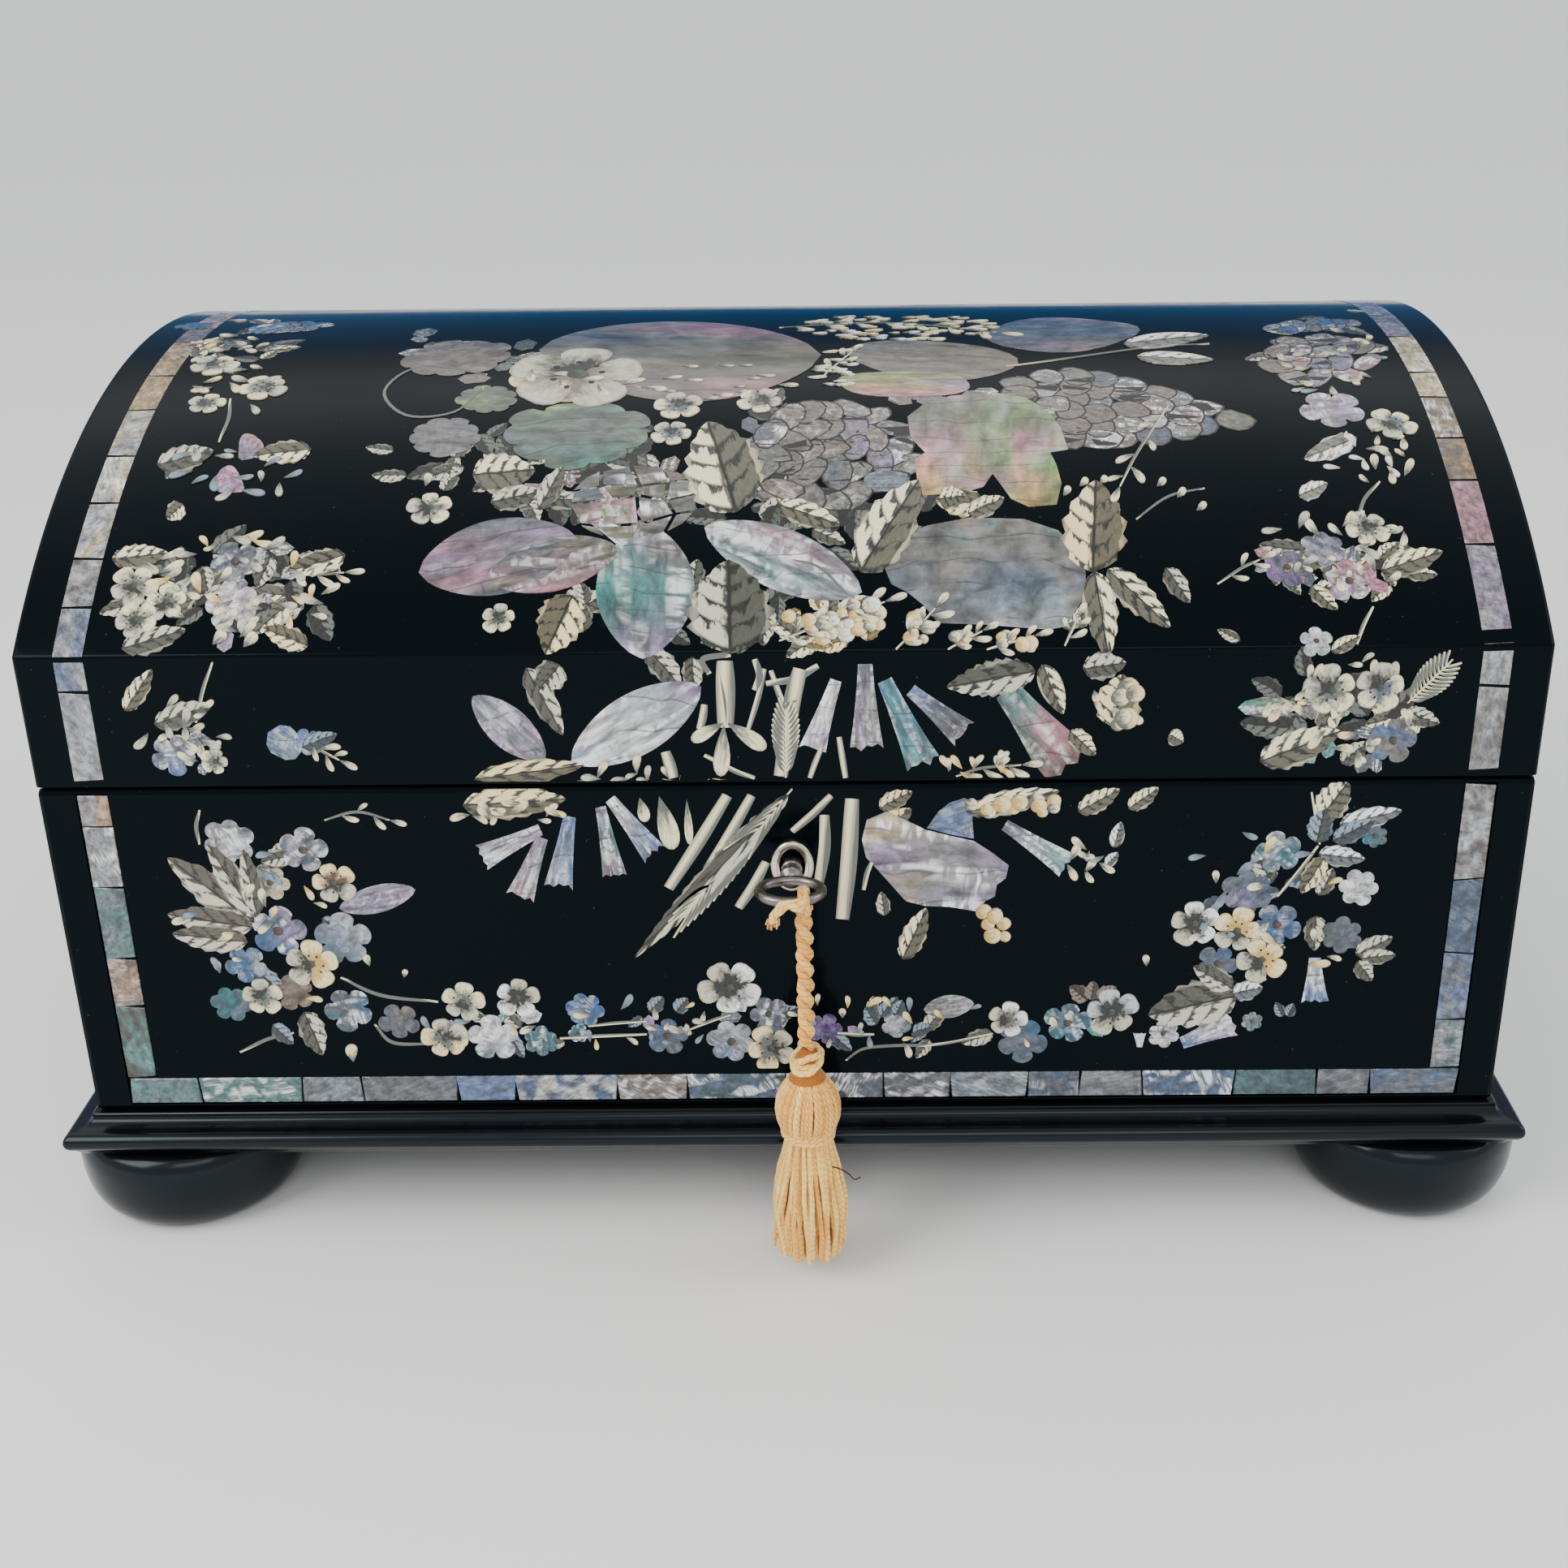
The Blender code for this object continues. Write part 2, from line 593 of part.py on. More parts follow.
def main():
    clear_scene()
    lacquer = material("black_lacquer", (0.010, 0.011, 0.014), 0.14)
    ebonised = material("ebonised_wood", (0.016, 0.015, 0.015), 0.30)
    pearl = material("mother_of_pearl", (0.52, 0.56, 0.58), 0.20)
    steel = material("worn_steel", (0.36, 0.34, 0.31), 0.32, 1.0)
    nickel = material("worn_nickel", (0.58, 0.52, 0.42), 0.25, 1.0)
    brass = material("brass", (0.60, 0.44, 0.20), 0.30, 1.0)
    yarn = material("straw_yarn", (0.72, 0.53, 0.28), 0.85)
    body = make_body(lacquer)
    lid = make_lid(lacquer)
    make_body_bands(body, pearl)
    make_lid_bands(lid, pearl)
    make_moulding(ebonised)
    make_feet(ebonised)
    make_escutcheon(nickel)
    make_key(steel)
    make_lock(brass)
    make_hinges(body, lid, brass)
    make_tassel(yarn)


main()
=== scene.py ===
"""The looks of a papier-mache sewing box: black lacquer, mother-of-pearl and painted flowers, a key and a tassel.

Metres, in the frame's own coordinates. The flowers are laid out on the box's front and lid as on one flat sheet:
x runs across it, and s goes up it, from 0 at the seam over the lid, and below 0 down the body's front.
"""

import math
import random

import bmesh
import bpy
from mathutils import Matrix, Vector
from mathutils.geometry import delaunay_2d_cdt


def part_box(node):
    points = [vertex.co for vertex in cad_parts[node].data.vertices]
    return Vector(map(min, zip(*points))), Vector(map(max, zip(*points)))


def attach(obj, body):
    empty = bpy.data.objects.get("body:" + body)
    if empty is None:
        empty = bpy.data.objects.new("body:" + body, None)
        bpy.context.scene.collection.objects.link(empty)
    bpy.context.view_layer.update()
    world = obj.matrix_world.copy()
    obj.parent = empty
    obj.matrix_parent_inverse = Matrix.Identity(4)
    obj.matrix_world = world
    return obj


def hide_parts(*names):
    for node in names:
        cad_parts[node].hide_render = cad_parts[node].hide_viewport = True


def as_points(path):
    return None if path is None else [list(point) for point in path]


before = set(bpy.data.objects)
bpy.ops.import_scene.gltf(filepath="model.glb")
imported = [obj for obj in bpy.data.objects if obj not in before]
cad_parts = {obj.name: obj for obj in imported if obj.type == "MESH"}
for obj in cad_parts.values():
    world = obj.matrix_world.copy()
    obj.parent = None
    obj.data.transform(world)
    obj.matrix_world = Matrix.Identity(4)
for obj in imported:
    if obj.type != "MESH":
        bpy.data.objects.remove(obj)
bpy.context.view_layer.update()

MM = 0.001


def corners(node):
    """The lowest and the highest corner of a node's box."""
    return [Vector(corner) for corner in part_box(node)]


# Sizes of the box, from the frame
BODY_LOW, BODY_HIGH = corners("body")
LID_LOW, LID_HIGH = corners("lid")
HALF_WIDTH = BODY_HIGH.x
FRONT, BACK = BODY_LOW.y, BODY_HIGH.y
MIDDLE = (FRONT + BACK) / 2
HALF_DEPTH = (BACK - FRONT) / 2
BODY_BOTTOM, BODY_TOP = BODY_LOW.z, BODY_HIGH.z
LID_BOTTOM, LID_TOP = LID_LOW.z, LID_HIGH.z
LID_SIDE_HEIGHT = 0.0277
EDGE_RADIUS = 0.0012
WALL = 0.0055
FLOOR = 0.005
GAP = 0.0003
MOULDING_STEP = 0.0008
NOSE_RADIUS = 0.0021
DOME_RISE = LID_TOP - LID_BOTTOM - LID_SIDE_HEIGHT
DOME_RADIUS = (HALF_DEPTH**2 + DOME_RISE**2) / (2 * DOME_RISE)
DOME_CENTRE = LID_TOP - DOME_RADIUS

# The photograph's camera: its lens in pixels, and its place from the middle of the front's bottom edge
SENSOR_WIDTH = 36
PHOTO_SIZE = 1932
PHOTO_FOCUS = 2400
PHOTO_CENTRE = (1048.09, 931.5)
CAMERA_PLACE = (0.0144, -0.3546, 0.2347)
CAMERA_DOWN = 0.4075
CAMERA_YAW = -0.0038
CAMERA_ROLL = -0.0099


def linear(colour):
    """A colour as seen on screen, 0 to 1, as the shaders need it."""
    return tuple(c / 12.92 if c <= 0.04045 else ((c + 0.055) / 1.055) ** 2.4 for c in colour)


# The colours of the pearl and the paint, by name
COLOURS = {name: linear(colour) for name, colour in {
    "grey": (0.47, 0.46, 0.44), "taupe": (0.50, 0.44, 0.40), "silver": (0.74, 0.75, 0.77),
    "slate": (0.34, 0.38, 0.43), "lilac": (0.62, 0.54, 0.68), "rose": (0.76, 0.52, 0.59),
    "peach": (0.90, 0.70, 0.52), "teal": (0.28, 0.60, 0.58), "green": (0.50, 0.68, 0.36),
    "blue": (0.30, 0.46, 0.70), "cream": (0.96, 0.88, 0.66), "white": (0.95, 0.95, 0.94),
    "gold": (0.78, 0.64, 0.34), "violet": (0.46, 0.34, 0.58), "brown": (0.36, 0.27, 0.20),
    "olive": (0.42, 0.42, 0.32), "ivory": (0.95, 0.91, 0.75), "ash": (0.38, 0.40, 0.37),
    "sage": (0.27, 0.31, 0.26), "soot": (0.17, 0.18, 0.17), "bone": (0.78, 0.77, 0.68),
    "mist": (0.50, 0.58, 0.64), "azure": (0.13, 0.34, 0.54), "sea": (0.08, 0.40, 0.44),
}.items()}

# The borders' tiles
TILE_SHORTEST = 0.010
TILE_LONGEST = 0.022
TILE_DEPTH = 0.0006
TILE_BEVEL = 0.00018
TILE_JOINT = 0.00035
TILE_STEP = 0.002
TILE_GRAIN = 0.008
TILE_GREY = 0.20
# How much of its own colour, and of that grey, a tile shows
COLOUR_SHARE, GREY_SHARE = 0.68, 0.32
# The stretch of the lid's right border where the tiles are lost, by its start and its end
WORN_AWAY = (0.0284, 0.0308)
# The tiles' colours in each stretch of a border: (share of the way along where it ends, colours)
BAND_COLOURS = {
    "lid_band_right": [(0.10, "silver grey blue"), (0.16, "silver lilac"), (0.24, "rose silver lilac"),
                       (0.30, "gold green brown"), (0.36, "green cream"), (0.42, "olive brown cream"),
                       (0.48, "lilac grey rose"), (0.6, "grey olive lilac"), (1.0, "grey silver olive slate")],
    "lid_band_left": [(0.10, "blue slate silver"), (0.18, "grey olive silver"), (0.30, "cream white silver"),
                      (0.44, "peach cream gold"), (0.6, "peach taupe"), (1.0, "grey silver olive slate")],
    "body_band_left": [(0.17, "sage silver teal"), (0.30, "lilac"), (0.40, "peach taupe"), (0.65, "mist silver teal"),
                       (0.78, "slate silver"), (1.0, "peach taupe silver")],
    "body_band_right": [(0.25, "sea silver mist"), (0.50, "slate azure blue"), (0.77, "teal sea azure"),
                        (1.0, "taupe slate silver")],
    "body_band_bottom": [(0.26, "slate mist teal"), (0.36, "blue white lilac"), (0.44, "silver taupe white"),
                         (0.62, "slate sea azure"), (0.72, "mist azure slate"), (0.78, "silver lilac slate"),
                         (1.0, "sea azure slate")],
}


# The camera

def camera_axes():
    """The directions to the right, up and ahead as the camera sees them."""
    ahead = Vector((math.sin(CAMERA_YAW) * math.cos(CAMERA_DOWN),
                    math.cos(CAMERA_YAW) * math.cos(CAMERA_DOWN), -math.sin(CAMERA_DOWN)))
    level = Vector((math.cos(CAMERA_YAW), -math.sin(CAMERA_YAW), 0))
    above = level.cross(ahead)
    right = level * math.cos(CAMERA_ROLL) + above * math.sin(CAMERA_ROLL)
    up = above * math.cos(CAMERA_ROLL) - level * math.sin(CAMERA_ROLL)
    return right, up, ahead


CAMERA_AT = Vector(CAMERA_PLACE) + Vector((0, FRONT, BODY_BOTTOM))
RIGHT, UP, AHEAD = camera_axes()


def make_camera():
    data = bpy.data.cameras.new("photo_camera")
    data.sensor_width = SENSOR_WIDTH
    data.lens = PHOTO_FOCUS / PHOTO_SIZE * SENSOR_WIDTH
    data.shift_x = 0.5 - PHOTO_CENTRE[0] / PHOTO_SIZE
    data.shift_y = PHOTO_CENTRE[1] / PHOTO_SIZE - 0.5
    camera = bpy.data.objects.new("photo_camera", data)
    bpy.context.scene.collection.objects.link(camera)
    turn = Matrix((RIGHT, UP, -AHEAD)).transposed().to_4x4()
    camera.matrix_world = Matrix.Translation(CAMERA_AT) @ turn
    bpy.context.scene.camera = camera


# The lid's outline, seen from the end, by the distance along it from its front bottom edge

JUST_BELOW = -1e-6
FILLET_Y = HALF_DEPTH - EDGE_RADIUS
FILLET_Z = DOME_CENTRE + math.sqrt((DOME_RADIUS - EDGE_RADIUS) ** 2 - FILLET_Y**2)
DOME_ANGLE = math.atan2(FILLET_Y, FILLET_Z - DOME_CENTRE)
SIDE_RUN = FILLET_Z - LID_BOTTOM
FILLET_RUN = EDGE_RADIUS * (math.pi / 2 - DOME_ANGLE)
DOME_START = SIDE_RUN + FILLET_RUN
DOME_RUN = 2 * DOME_RADIUS * DOME_ANGLE
LID_RUN = 2 * DOME_START + DOME_RUN


def lid_point(run, lift=0.0):
    """The (y, z) of the lid's outline at a distance along it, moved outwards by lift."""
    if run > LID_RUN / 2:
        y, z = lid_point(LID_RUN - run, lift)
        return 2 * MIDDLE - y, z
    if run <= SIDE_RUN:
        return FRONT - lift, LID_BOTTOM + run
    if run <= DOME_START:
        turn = (run - SIDE_RUN) / EDGE_RADIUS
        reach = EDGE_RADIUS + lift
        return FRONT + EDGE_RADIUS - reach * math.cos(turn), FILLET_Z + reach * math.sin(turn)
    turn = DOME_ANGLE - (run - DOME_START) / DOME_RADIUS
    reach = DOME_RADIUS + lift
    return MIDDLE - reach * math.sin(turn), DOME_CENTRE + reach * math.cos(turn)


def sheet_place(x, s, lift=0.0):
    """A point of the flat sheet on the box's front or lid."""
    if s < 0:
        return Vector((x, FRONT - lift, BODY_TOP + s))
    y, z = lid_point(s, lift)
    return Vector((x, y, z))


def from_photo(u, v):
    """The place on the sheet, (x, s), that shows at a pixel of the photograph."""
    ray = AHEAD + RIGHT * ((u - PHOTO_CENTRE[0]) / PHOTO_FOCUS) - UP * ((v - PHOTO_CENTRE[1]) / PHOTO_FOCUS)
    far = (FRONT - CAMERA_AT.y) / ray.y
    x, z = CAMERA_AT.x + far * ray.x, CAMERA_AT.z + far * ray.z
    if z < LID_BOTTOM:
        return x, min(z - BODY_TOP, JUST_BELOW)
    if z < LID_BOTTOM + SIDE_RUN:
        return x, z - LID_BOTTOM
    dy, dz = CAMERA_AT.y - MIDDLE, CAMERA_AT.z - DOME_CENTRE
    a = ray.y**2 + ray.z**2
    b = dy * ray.y + dz * ray.z
    c = dy**2 + dz**2 - DOME_RADIUS**2
    far = (-b - math.sqrt(max(b * b - a * c, 0.0))) / a
    turn = math.atan2(-(dy + far * ray.y), dz + far * ray.z)
    return CAMERA_AT.x + far * ray.x, DOME_START + (DOME_ANGLE - turn) * DOME_RADIUS


# Materials

class Graph:
    """The nodes of a material or the world, built from short calls."""

    def __init__(self, name, store=None, shader="Principled BSDF", **settings):
        self.owner = (bpy.data.materials if store is None else store).new(name)
        self.owner.use_nodes = True
        self.tree = self.owner.node_tree
        self.shader = self.tree.nodes[shader]
        self.finish(**settings)

    def put(self, socket, value):
        if isinstance(value, bpy.types.NodeSocket):
            self.tree.links.new(value, socket)
        else:
            socket.default_value = value

    def add(self, kind, settings=None, **inputs):
        made = self.tree.nodes.new("ShaderNode" + kind)
        for key, value in (settings or {}).items():
            setattr(made, key, value)
        for key, value in inputs.items():
            self.put(made.inputs[key.replace("_", " ")], value)
        return made

    def attribute(self, name, output="Color"):
        return self.add("Attribute", {"attribute_name": name}).outputs[output]

    def place(self, kind="Object"):
        return self.add("TexCoord").outputs[kind]

    def mapping(self, vector, scale):
        return self.add("Mapping", Vector=vector, Scale=scale).outputs[0]

    def noise(self, vector, scale, detail=2.0, rough=0.5, twist=0.0):
        made = self.add("TexNoise", Vector=vector, Scale=scale, Detail=detail, Roughness=rough, Distortion=twist)
        return made.outputs["Fac"]

    def math(self, operation, a, b=0.0):
        made = self.add("Math", {"operation": operation})
        self.put(made.inputs[0], a)
        self.put(made.inputs[1], b)
        return made.outputs[0]

    def plus(self, a, b):
        return self.math("ADD", a, b)

    def minus(self, a, b):
        return self.math("SUBTRACT", a, b)

    def times(self, a, b):
        return self.math("MULTIPLY", a, b)

    def size(self, a):
        """The value without its sign."""
        return self.math("ABSOLUTE", a)

    def split(self, vector):
        return self.add("SeparateXYZ", Vector=vector).outputs

    def length(self, x, y):
        """How far (x, y) is from (0, 0)."""
        flat = self.add("CombineXYZ", X=x, Y=y).outputs[0]
        return self.add("VectorMath", {"operation": "LENGTH"}, Vector=flat).outputs["Value"]

    def ramp(self, value, *stops):
        """Maps a value through (place, level) stops; a level is a grey or a colour."""
        made = self.add("ValToRGB", Fac=value)
        points = made.color_ramp.elements
        while len(points) < len(stops):
            points.new(0.5)
        for point, (at, level) in zip(points, stops):
            point.position = at
            point.color = (*level, 1) if isinstance(level, tuple) else (level, level, level, 1)
        return made.outputs["Color"]

    def mix(self, factor, a, b, blend="MIX"):
        made = self.add("Mix", {"data_type": "RGBA", "blend_type": blend})
        for index, value in ((0, factor), (6, a), (7, b)):
            if index and not isinstance(value, bpy.types.NodeSocket):
                value = (*value, 1.0)
            self.put(made.inputs[index], value)
        return made.outputs[2]

    def shaded(self, colour, level):
        """The colour, made darker or lighter by a level."""
        return self.mix(1.0, colour, level, "MULTIPLY")

    def bump(self, height, strength, distance=0.0002):
        return self.add("Bump", Height=height, Strength=strength, Distance=distance).outputs[0]

    def finish(self, **inputs):
        for key, value in inputs.items():
            self.put(self.shader.inputs[key.replace("_", " ")], value)
        return self.owner


def lining_colour(g, place):
    """Plain dark red paper."""
    fibre = g.noise(place, 420, 6, 0.75)
    base = g.mix(g.noise(place, 18, 4), (0.055, 0.012, 0.016), (0.085, 0.020, 0.024))
    return g.mix(g.ramp(fibre, (0.45, 0.0), (0.75, 0.5)), base, (0.14, 0.045, 0.045))


def inside_body(g, place):
    """1 within the body's walls and over its floor, else 0."""
    x, y, z = g.split(place)
    found = g.math("LESS_THAN", g.size(x), HALF_WIDTH - WALL / 2)
    for check in (g.math("LESS_THAN", g.size(g.minus(y, MIDDLE)), HALF_DEPTH - WALL / 2),
                  g.math("GREATER_THAN", z, BODY_BOTTOM + FLOOR / 2), g.math("LESS_THAN", z, BODY_TOP - MM)):
        found = g.times(found, check)
    return found


def lacquer_material(name="black_lacquer", lined=False):
    """Black lacquer: glossy, with faint ripples, hairline crackle and fine dust. Lined, it has paper inside."""
    g = Graph(name, IOR=1.45, Specular_Tint=(0.62, 0.86, 1.0, 1.0))
    place = g.place()
    cloud = g.noise(place, 14, 4)
    speck = g.ramp(g.noise(place, 900, 1), (0.78, 0.0), (0.82, 1.0))
    crackle = g.add("TexVoronoi", {"feature": "DISTANCE_TO_EDGE"}, Vector=place, Scale=38).outputs["Distance"]
    lines = g.ramp(crackle, (0.0, 1.0), (0.012, 0.0))
    base = g.mix(cloud, (0.0006, 0.0016, 0.0028), (0.0014, 0.0030, 0.0044))
    base = g.mix(g.times(speck, 0.30), base, (0.08, 0.08, 0.075))
    rough = g.ramp(g.noise(place, 60, 6, 0.7), (0.35, 0.09), (0.7, 0.19))
    ripple = g.plus(g.noise(place, 45, 3), g.times(lines, -0.25))
    if lined:
        inside = inside_body(g, place)
        base = g.mix(inside, base, lining_colour(g, place))
        rough = g.mix(inside, rough, (0.85, 0.85, 0.85))
    return g.finish(Base_Color=base, Roughness=rough, Specular_IOR_Level=0.09, Normal=g.bump(ripple, 0.12, 0.0003))


def ebonised_material():
    """Blackened turned wood under thin polish."""
    g = Graph("ebonised_wood", IOR=1.45, Specular_IOR_Level=0.33, Specular_Tint=(0.72, 0.88, 1.0, 1.0))
    place = g.place()
    grain = g.noise(g.mapping(place, (12, 160, 160)), 3, 5, 0.6)
    base = g.mix(grain, (0.0012, 0.0022, 0.0034), (0.0046, 0.0054, 0.0064))
    rough = g.ramp(g.noise(place, 80, 5, 0.6), (0.3, 0.12), (0.75, 0.26))
    return g.finish(Base_Color=base, Roughness=rough, Normal=g.bump(grain, 0.08))


def lining_material():
    g = Graph("lining_paper", Roughness=0.85, Specular_IOR_Level=0.2)
    place = g.place()
    return g.finish(Base_Color=lining_colour(g, place), Normal=g.bump(g.noise(place, 420, 6, 0.75), 0.4, 0.0002))


def pearl_material():
    """Mother-of-pearl: two tints that drift into each other, dark growth lines, streaks with a painted sheen, and
    painted highlights in bright rippled glints.
    """
    g = Graph("mother_of_pearl", Metallic=0.15, IOR=1.5, Coat_Weight=0.5, Coat_Roughness=0.06)
    tint, glow = g.attribute("tint"), g.attribute("glow")
    # The tint's alpha, shine, is how much painted glint a piece gets; the glow's alpha, age, is how strong its growth
    # lines are.
    shine, age = g.attribute("tint", "Alpha"), g.attribute("glow", "Alpha")
    local = g.attribute("local", "Vector")
    place = g.place()
    _, y, z = g.split(place)
    drift = g.noise(g.mapping(local, (1.1, 0.9, 1)), 1.5, 2, 0.5, 0.4)
    streaks_and_sheen = g.noise(g.mapping(local, (2.6, 1.4, 1)), 2.4, 4, 0.6, 0.5)
    cloud = g.noise(g.mapping(local, (1.6, 1.6, 1)), 2.2, 5, 0.68)
    # Soft patches where the painted highlights go.
    painted_glint_patches = g.ramp(g.noise(g.mapping(local, (1.5, 1.9, 1)), 1.4, 1, 0.5, 0.3), (0.46, 0.0), (0.64, 1.0))
    ripple = g.noise(g.mapping(local, (8.5, 1.1, 1)), 1.5, 2, 0.5, 0.8)
    wave = g.noise(place, 22, 3)
    ring = g.math("FRACT", g.plus(g.times(g.plus(y, z), 130), g.times(wave, 4.5)))
    patchy = g.ramp(g.noise(local, 2.6, 2), (0.38, 0.0), (0.50, 1.0))
    line = g.times(g.ramp(ring, (0.0, 1.0), (0.075, 0.0)), g.times(patchy, age))
    colour = g.mix(g.ramp(drift, (0.40, 0.0), (0.60, 1.0)), tint, glow)
    # The streaks make the colour darker and lighter: the nacre's own streaky tone, with a painted sheen where they
    # brighten it.
    colour = g.shaded(colour, g.ramp(streaks_and_sheen, (0.32, 0.42), (0.70, 1.35)))
    colour = g.shaded(colour, g.ramp(cloud, (0.34, 0.36), (0.66, 1.15)))
    # Painted highlight: rippled glints, as strong as the piece's shine, mixed towards near-white.
    painted_glint = g.times(g.times(painted_glint_patches, shine), g.ramp(ripple, (0.42, 0.10), (0.58, 1.0)))
    colour = g.mix(painted_glint, colour, (0.95, 0.96, 0.98))
    colour = g.mix(g.times(line, 0.85), colour, (0.018, 0.018, 0.018))
    rough = g.ramp(streaks_and_sheen, (0.3, 0.16), (0.7, 0.32))
    height = g.plus(streaks_and_sheen, g.plus(ripple, g.times(line, -1.0)))
    return g.finish(Base_Color=colour, Roughness=rough, Normal=g.bump(height, 0.25, 0.0002))


def painted(name, rough=0.42):
    """A graph for paint: its light and its shade, and the place on the figure, whole, along it and across it."""
    g = Graph(name, Roughness=rough, Specular_IOR_Level=0.35, Coat_Weight=0.25, Coat_Roughness=0.12)
    local = g.attribute("local", "Vector")
    along, across, _ = g.split(local)
    return g, g.attribute("tint"), g.attribute("glow"), local, along, across


def leaf_material():
    """A painted leaf: grey-green, with rounded cream lights between its dark side veins, most on one half."""
    g, light, shade, local, along, across = painted("painted_leaf")
    wobble = g.minus(g.noise(local, 3.4, 4, 0.6), 0.5)
    side = g.size(g.plus(across, g.times(wobble, 0.10)))
    slant = g.minus(g.times(along, 4.6), g.times(side, 1.1))
    cell = g.math("FRACT", g.plus(slant, g.times(wobble, 1.3)))
    far = g.length(g.times(g.minus(cell, 0.5), 1.5), g.minus(g.size(across), 0.45))
    half = g.ramp(g.plus(across, wobble), (0.0, 0.10), (0.10, 1.0))
    reach = g.plus(far, g.times(wobble, 1.6))
    blob = g.times(g.ramp(reach, (0.50, 1.0), (0.70, 0.0)), half)
    rim = g.ramp(g.plus(side, wobble), (0.76, 0.0), (0.84, 0.45))
    streak = g.ramp(g.noise(g.mapping(local, (7, 4, 1)), 2.2, 4, 0.6), (0.36, 0.08), (0.68, 0.85))
    vein = g.times(g.ramp(cell, (0.0, 0.9), (0.09, 0.0)), g.ramp(side, (0.55, 1.0), (0.85, 0.0)))
    rib = g.ramp(side, (0.02, 1.0), (0.07, 0.0))
    colour = g.shaded(shade, g.times(streak, g.plus(g.times(half, 0.6), 0.4)))
    colour = g.mix(g.math("MAXIMUM", blob, rim), colour, light)
    colour = g.mix(g.math("MAXIMUM", vein, rib), colour, (0.010, 0.010, 0.009))
    colour = g.mix(g.ramp(side, (0.88, 0.0), (1.0, 0.6)), colour, (0.02, 0.02, 0.018))
    return g.finish(Base_Color=colour, Normal=g.bump(streak, 0.15))


def petal_material():
    """A painted petal or bud: shaded at its base, pale towards its tip, with a soft dark edge."""
    g, light, shade, local, along, across = painted("painted_petal")
    far = g.length(g.minus(g.times(along, 2.0), 1.0), across)
    lean = g.minus(g.noise(local, 2.2, 5, 0.65), 0.5)
    level = g.plus(along, g.plus(g.times(lean, 1.5), g.times(across, 0.12)))
    colour = g.mix(g.ramp(level, (0.25, 1.0), (0.72, 0.0)), light, shade)
    colour = g.shaded(colour, g.ramp(g.noise(local, 7, 3), (0.35, 0.80), (0.65, 1.10)))
    colour = g.mix(g.ramp(far, (0.82, 0.0), (0.98, 0.55)), colour, (0.03, 0.03, 0.027))
    return g.finish(Base_Color=colour, Normal=g.bump(g.noise(local, 6, 3), 0.12))


def stem_material():
    """Painted stems: long brush strokes, pale down the middle."""
    g, light, shade, local, _, across = painted("painted_stem", 0.45)
    streak = g.noise(g.mapping(local, (0.9, 5.0, 1)), 2.0, 4, 0.6)
    side = g.plus(g.size(g.plus(across, 0.15)), g.minus(streak, 0.5))
    colour = g.mix(g.ramp(side, (0.10, 0.0), (0.80, 1.0)), light, shade)
    return g.finish(Base_Color=colour, Normal=g.bump(streak, 0.15))


def ink_material():
    """Thin black paint, for veins and stamens."""
    g = Graph("ink", Roughness=0.4)
    shade = g.noise(g.place(), 300, 2)
    return g.finish(Base_Color=g.mix(shade, (0.006, 0.006, 0.006), (0.02, 0.018, 0.016)))


def metal_material(name, colour, dark, rough):
    """Old metal: bright where it is handled, dull and brown in patches."""
    g = Graph(name, Metallic=1.0)
    place = g.place()
    patch = g.ramp(g.noise(place, 260, 5, 0.65), (0.42, 0.0), (0.68, 0.5))
    scratch = g.noise(g.mapping(place, (300, 2600, 300)), 1.0, 3)
    level = g.ramp(g.noise(place, 500, 5, 0.7), (0.3, rough * 0.8), (0.75, min(rough * 1.9, 1.0)))
    return g.finish(Base_Color=g.mix(patch, colour, dark), Roughness=level, Normal=g.bump(scratch, 0.06, 0.0001))


def yarn_material():
    """Straw-coloured yarn: its plies turn along each strand, with painted shade that makes the grooves between the
    plies darker.
    """
    g = Graph("straw_yarn", Roughness=0.9, Specular_IOR_Level=0.15, Sheen_Weight=0.35, Sheen_Roughness=0.4)
    along, around_it, _ = g.split(g.attribute("local", "Vector"))
    ply = g.size(g.minus(g.math("FRACT", g.plus(along, around_it)), 0.5))
    fibre = g.noise(g.place(), 2600, 3, 0.6)
    # Painted shade: darker in the grooves between the plies.
    fold = g.ramp(ply, (0.0, 0.55), (0.22, 1.0))
    colour = g.shaded(g.attribute("tint"), fold)
    colour = g.shaded(colour, g.ramp(fibre, (0.3, 0.85), (0.7, 1.35)))
    height = g.plus(g.times(ply, 2.0), fibre)
    return g.finish(Base_Color=colour, Normal=g.bump(height, 0.5, 0.0001))


def floor_material():
    g = Graph("pale_floor", Roughness=1.0, Specular_IOR_Level=0.0)
    cloud = g.noise(g.place(), 3, 3)
    return g.finish(Base_Color=g.mix(cloud, (0.93, 0.93, 0.925), (0.95, 0.95, 0.945)))


LACQUER = lacquer_material()
LINED_LACQUER = lacquer_material("lined_lacquer", True)
EBONISED = ebonised_material()
LINING = lining_material()
PEARL = pearl_material()
LEAF = leaf_material()
PETAL = petal_material()
STEM = stem_material()
INK = ink_material()
STEEL = metal_material("worn_steel", (0.22, 0.20, 0.19), (0.05, 0.038, 0.03), 0.24)
NICKEL = metal_material("worn_nickel", (0.72, 0.66, 0.56), (0.30, 0.20, 0.12), 0.16)
BRASS = metal_material("old_brass", (0.56, 0.39, 0.16), (0.16, 0.09, 0.04), 0.28)
YARN = yarn_material()


# Building meshes

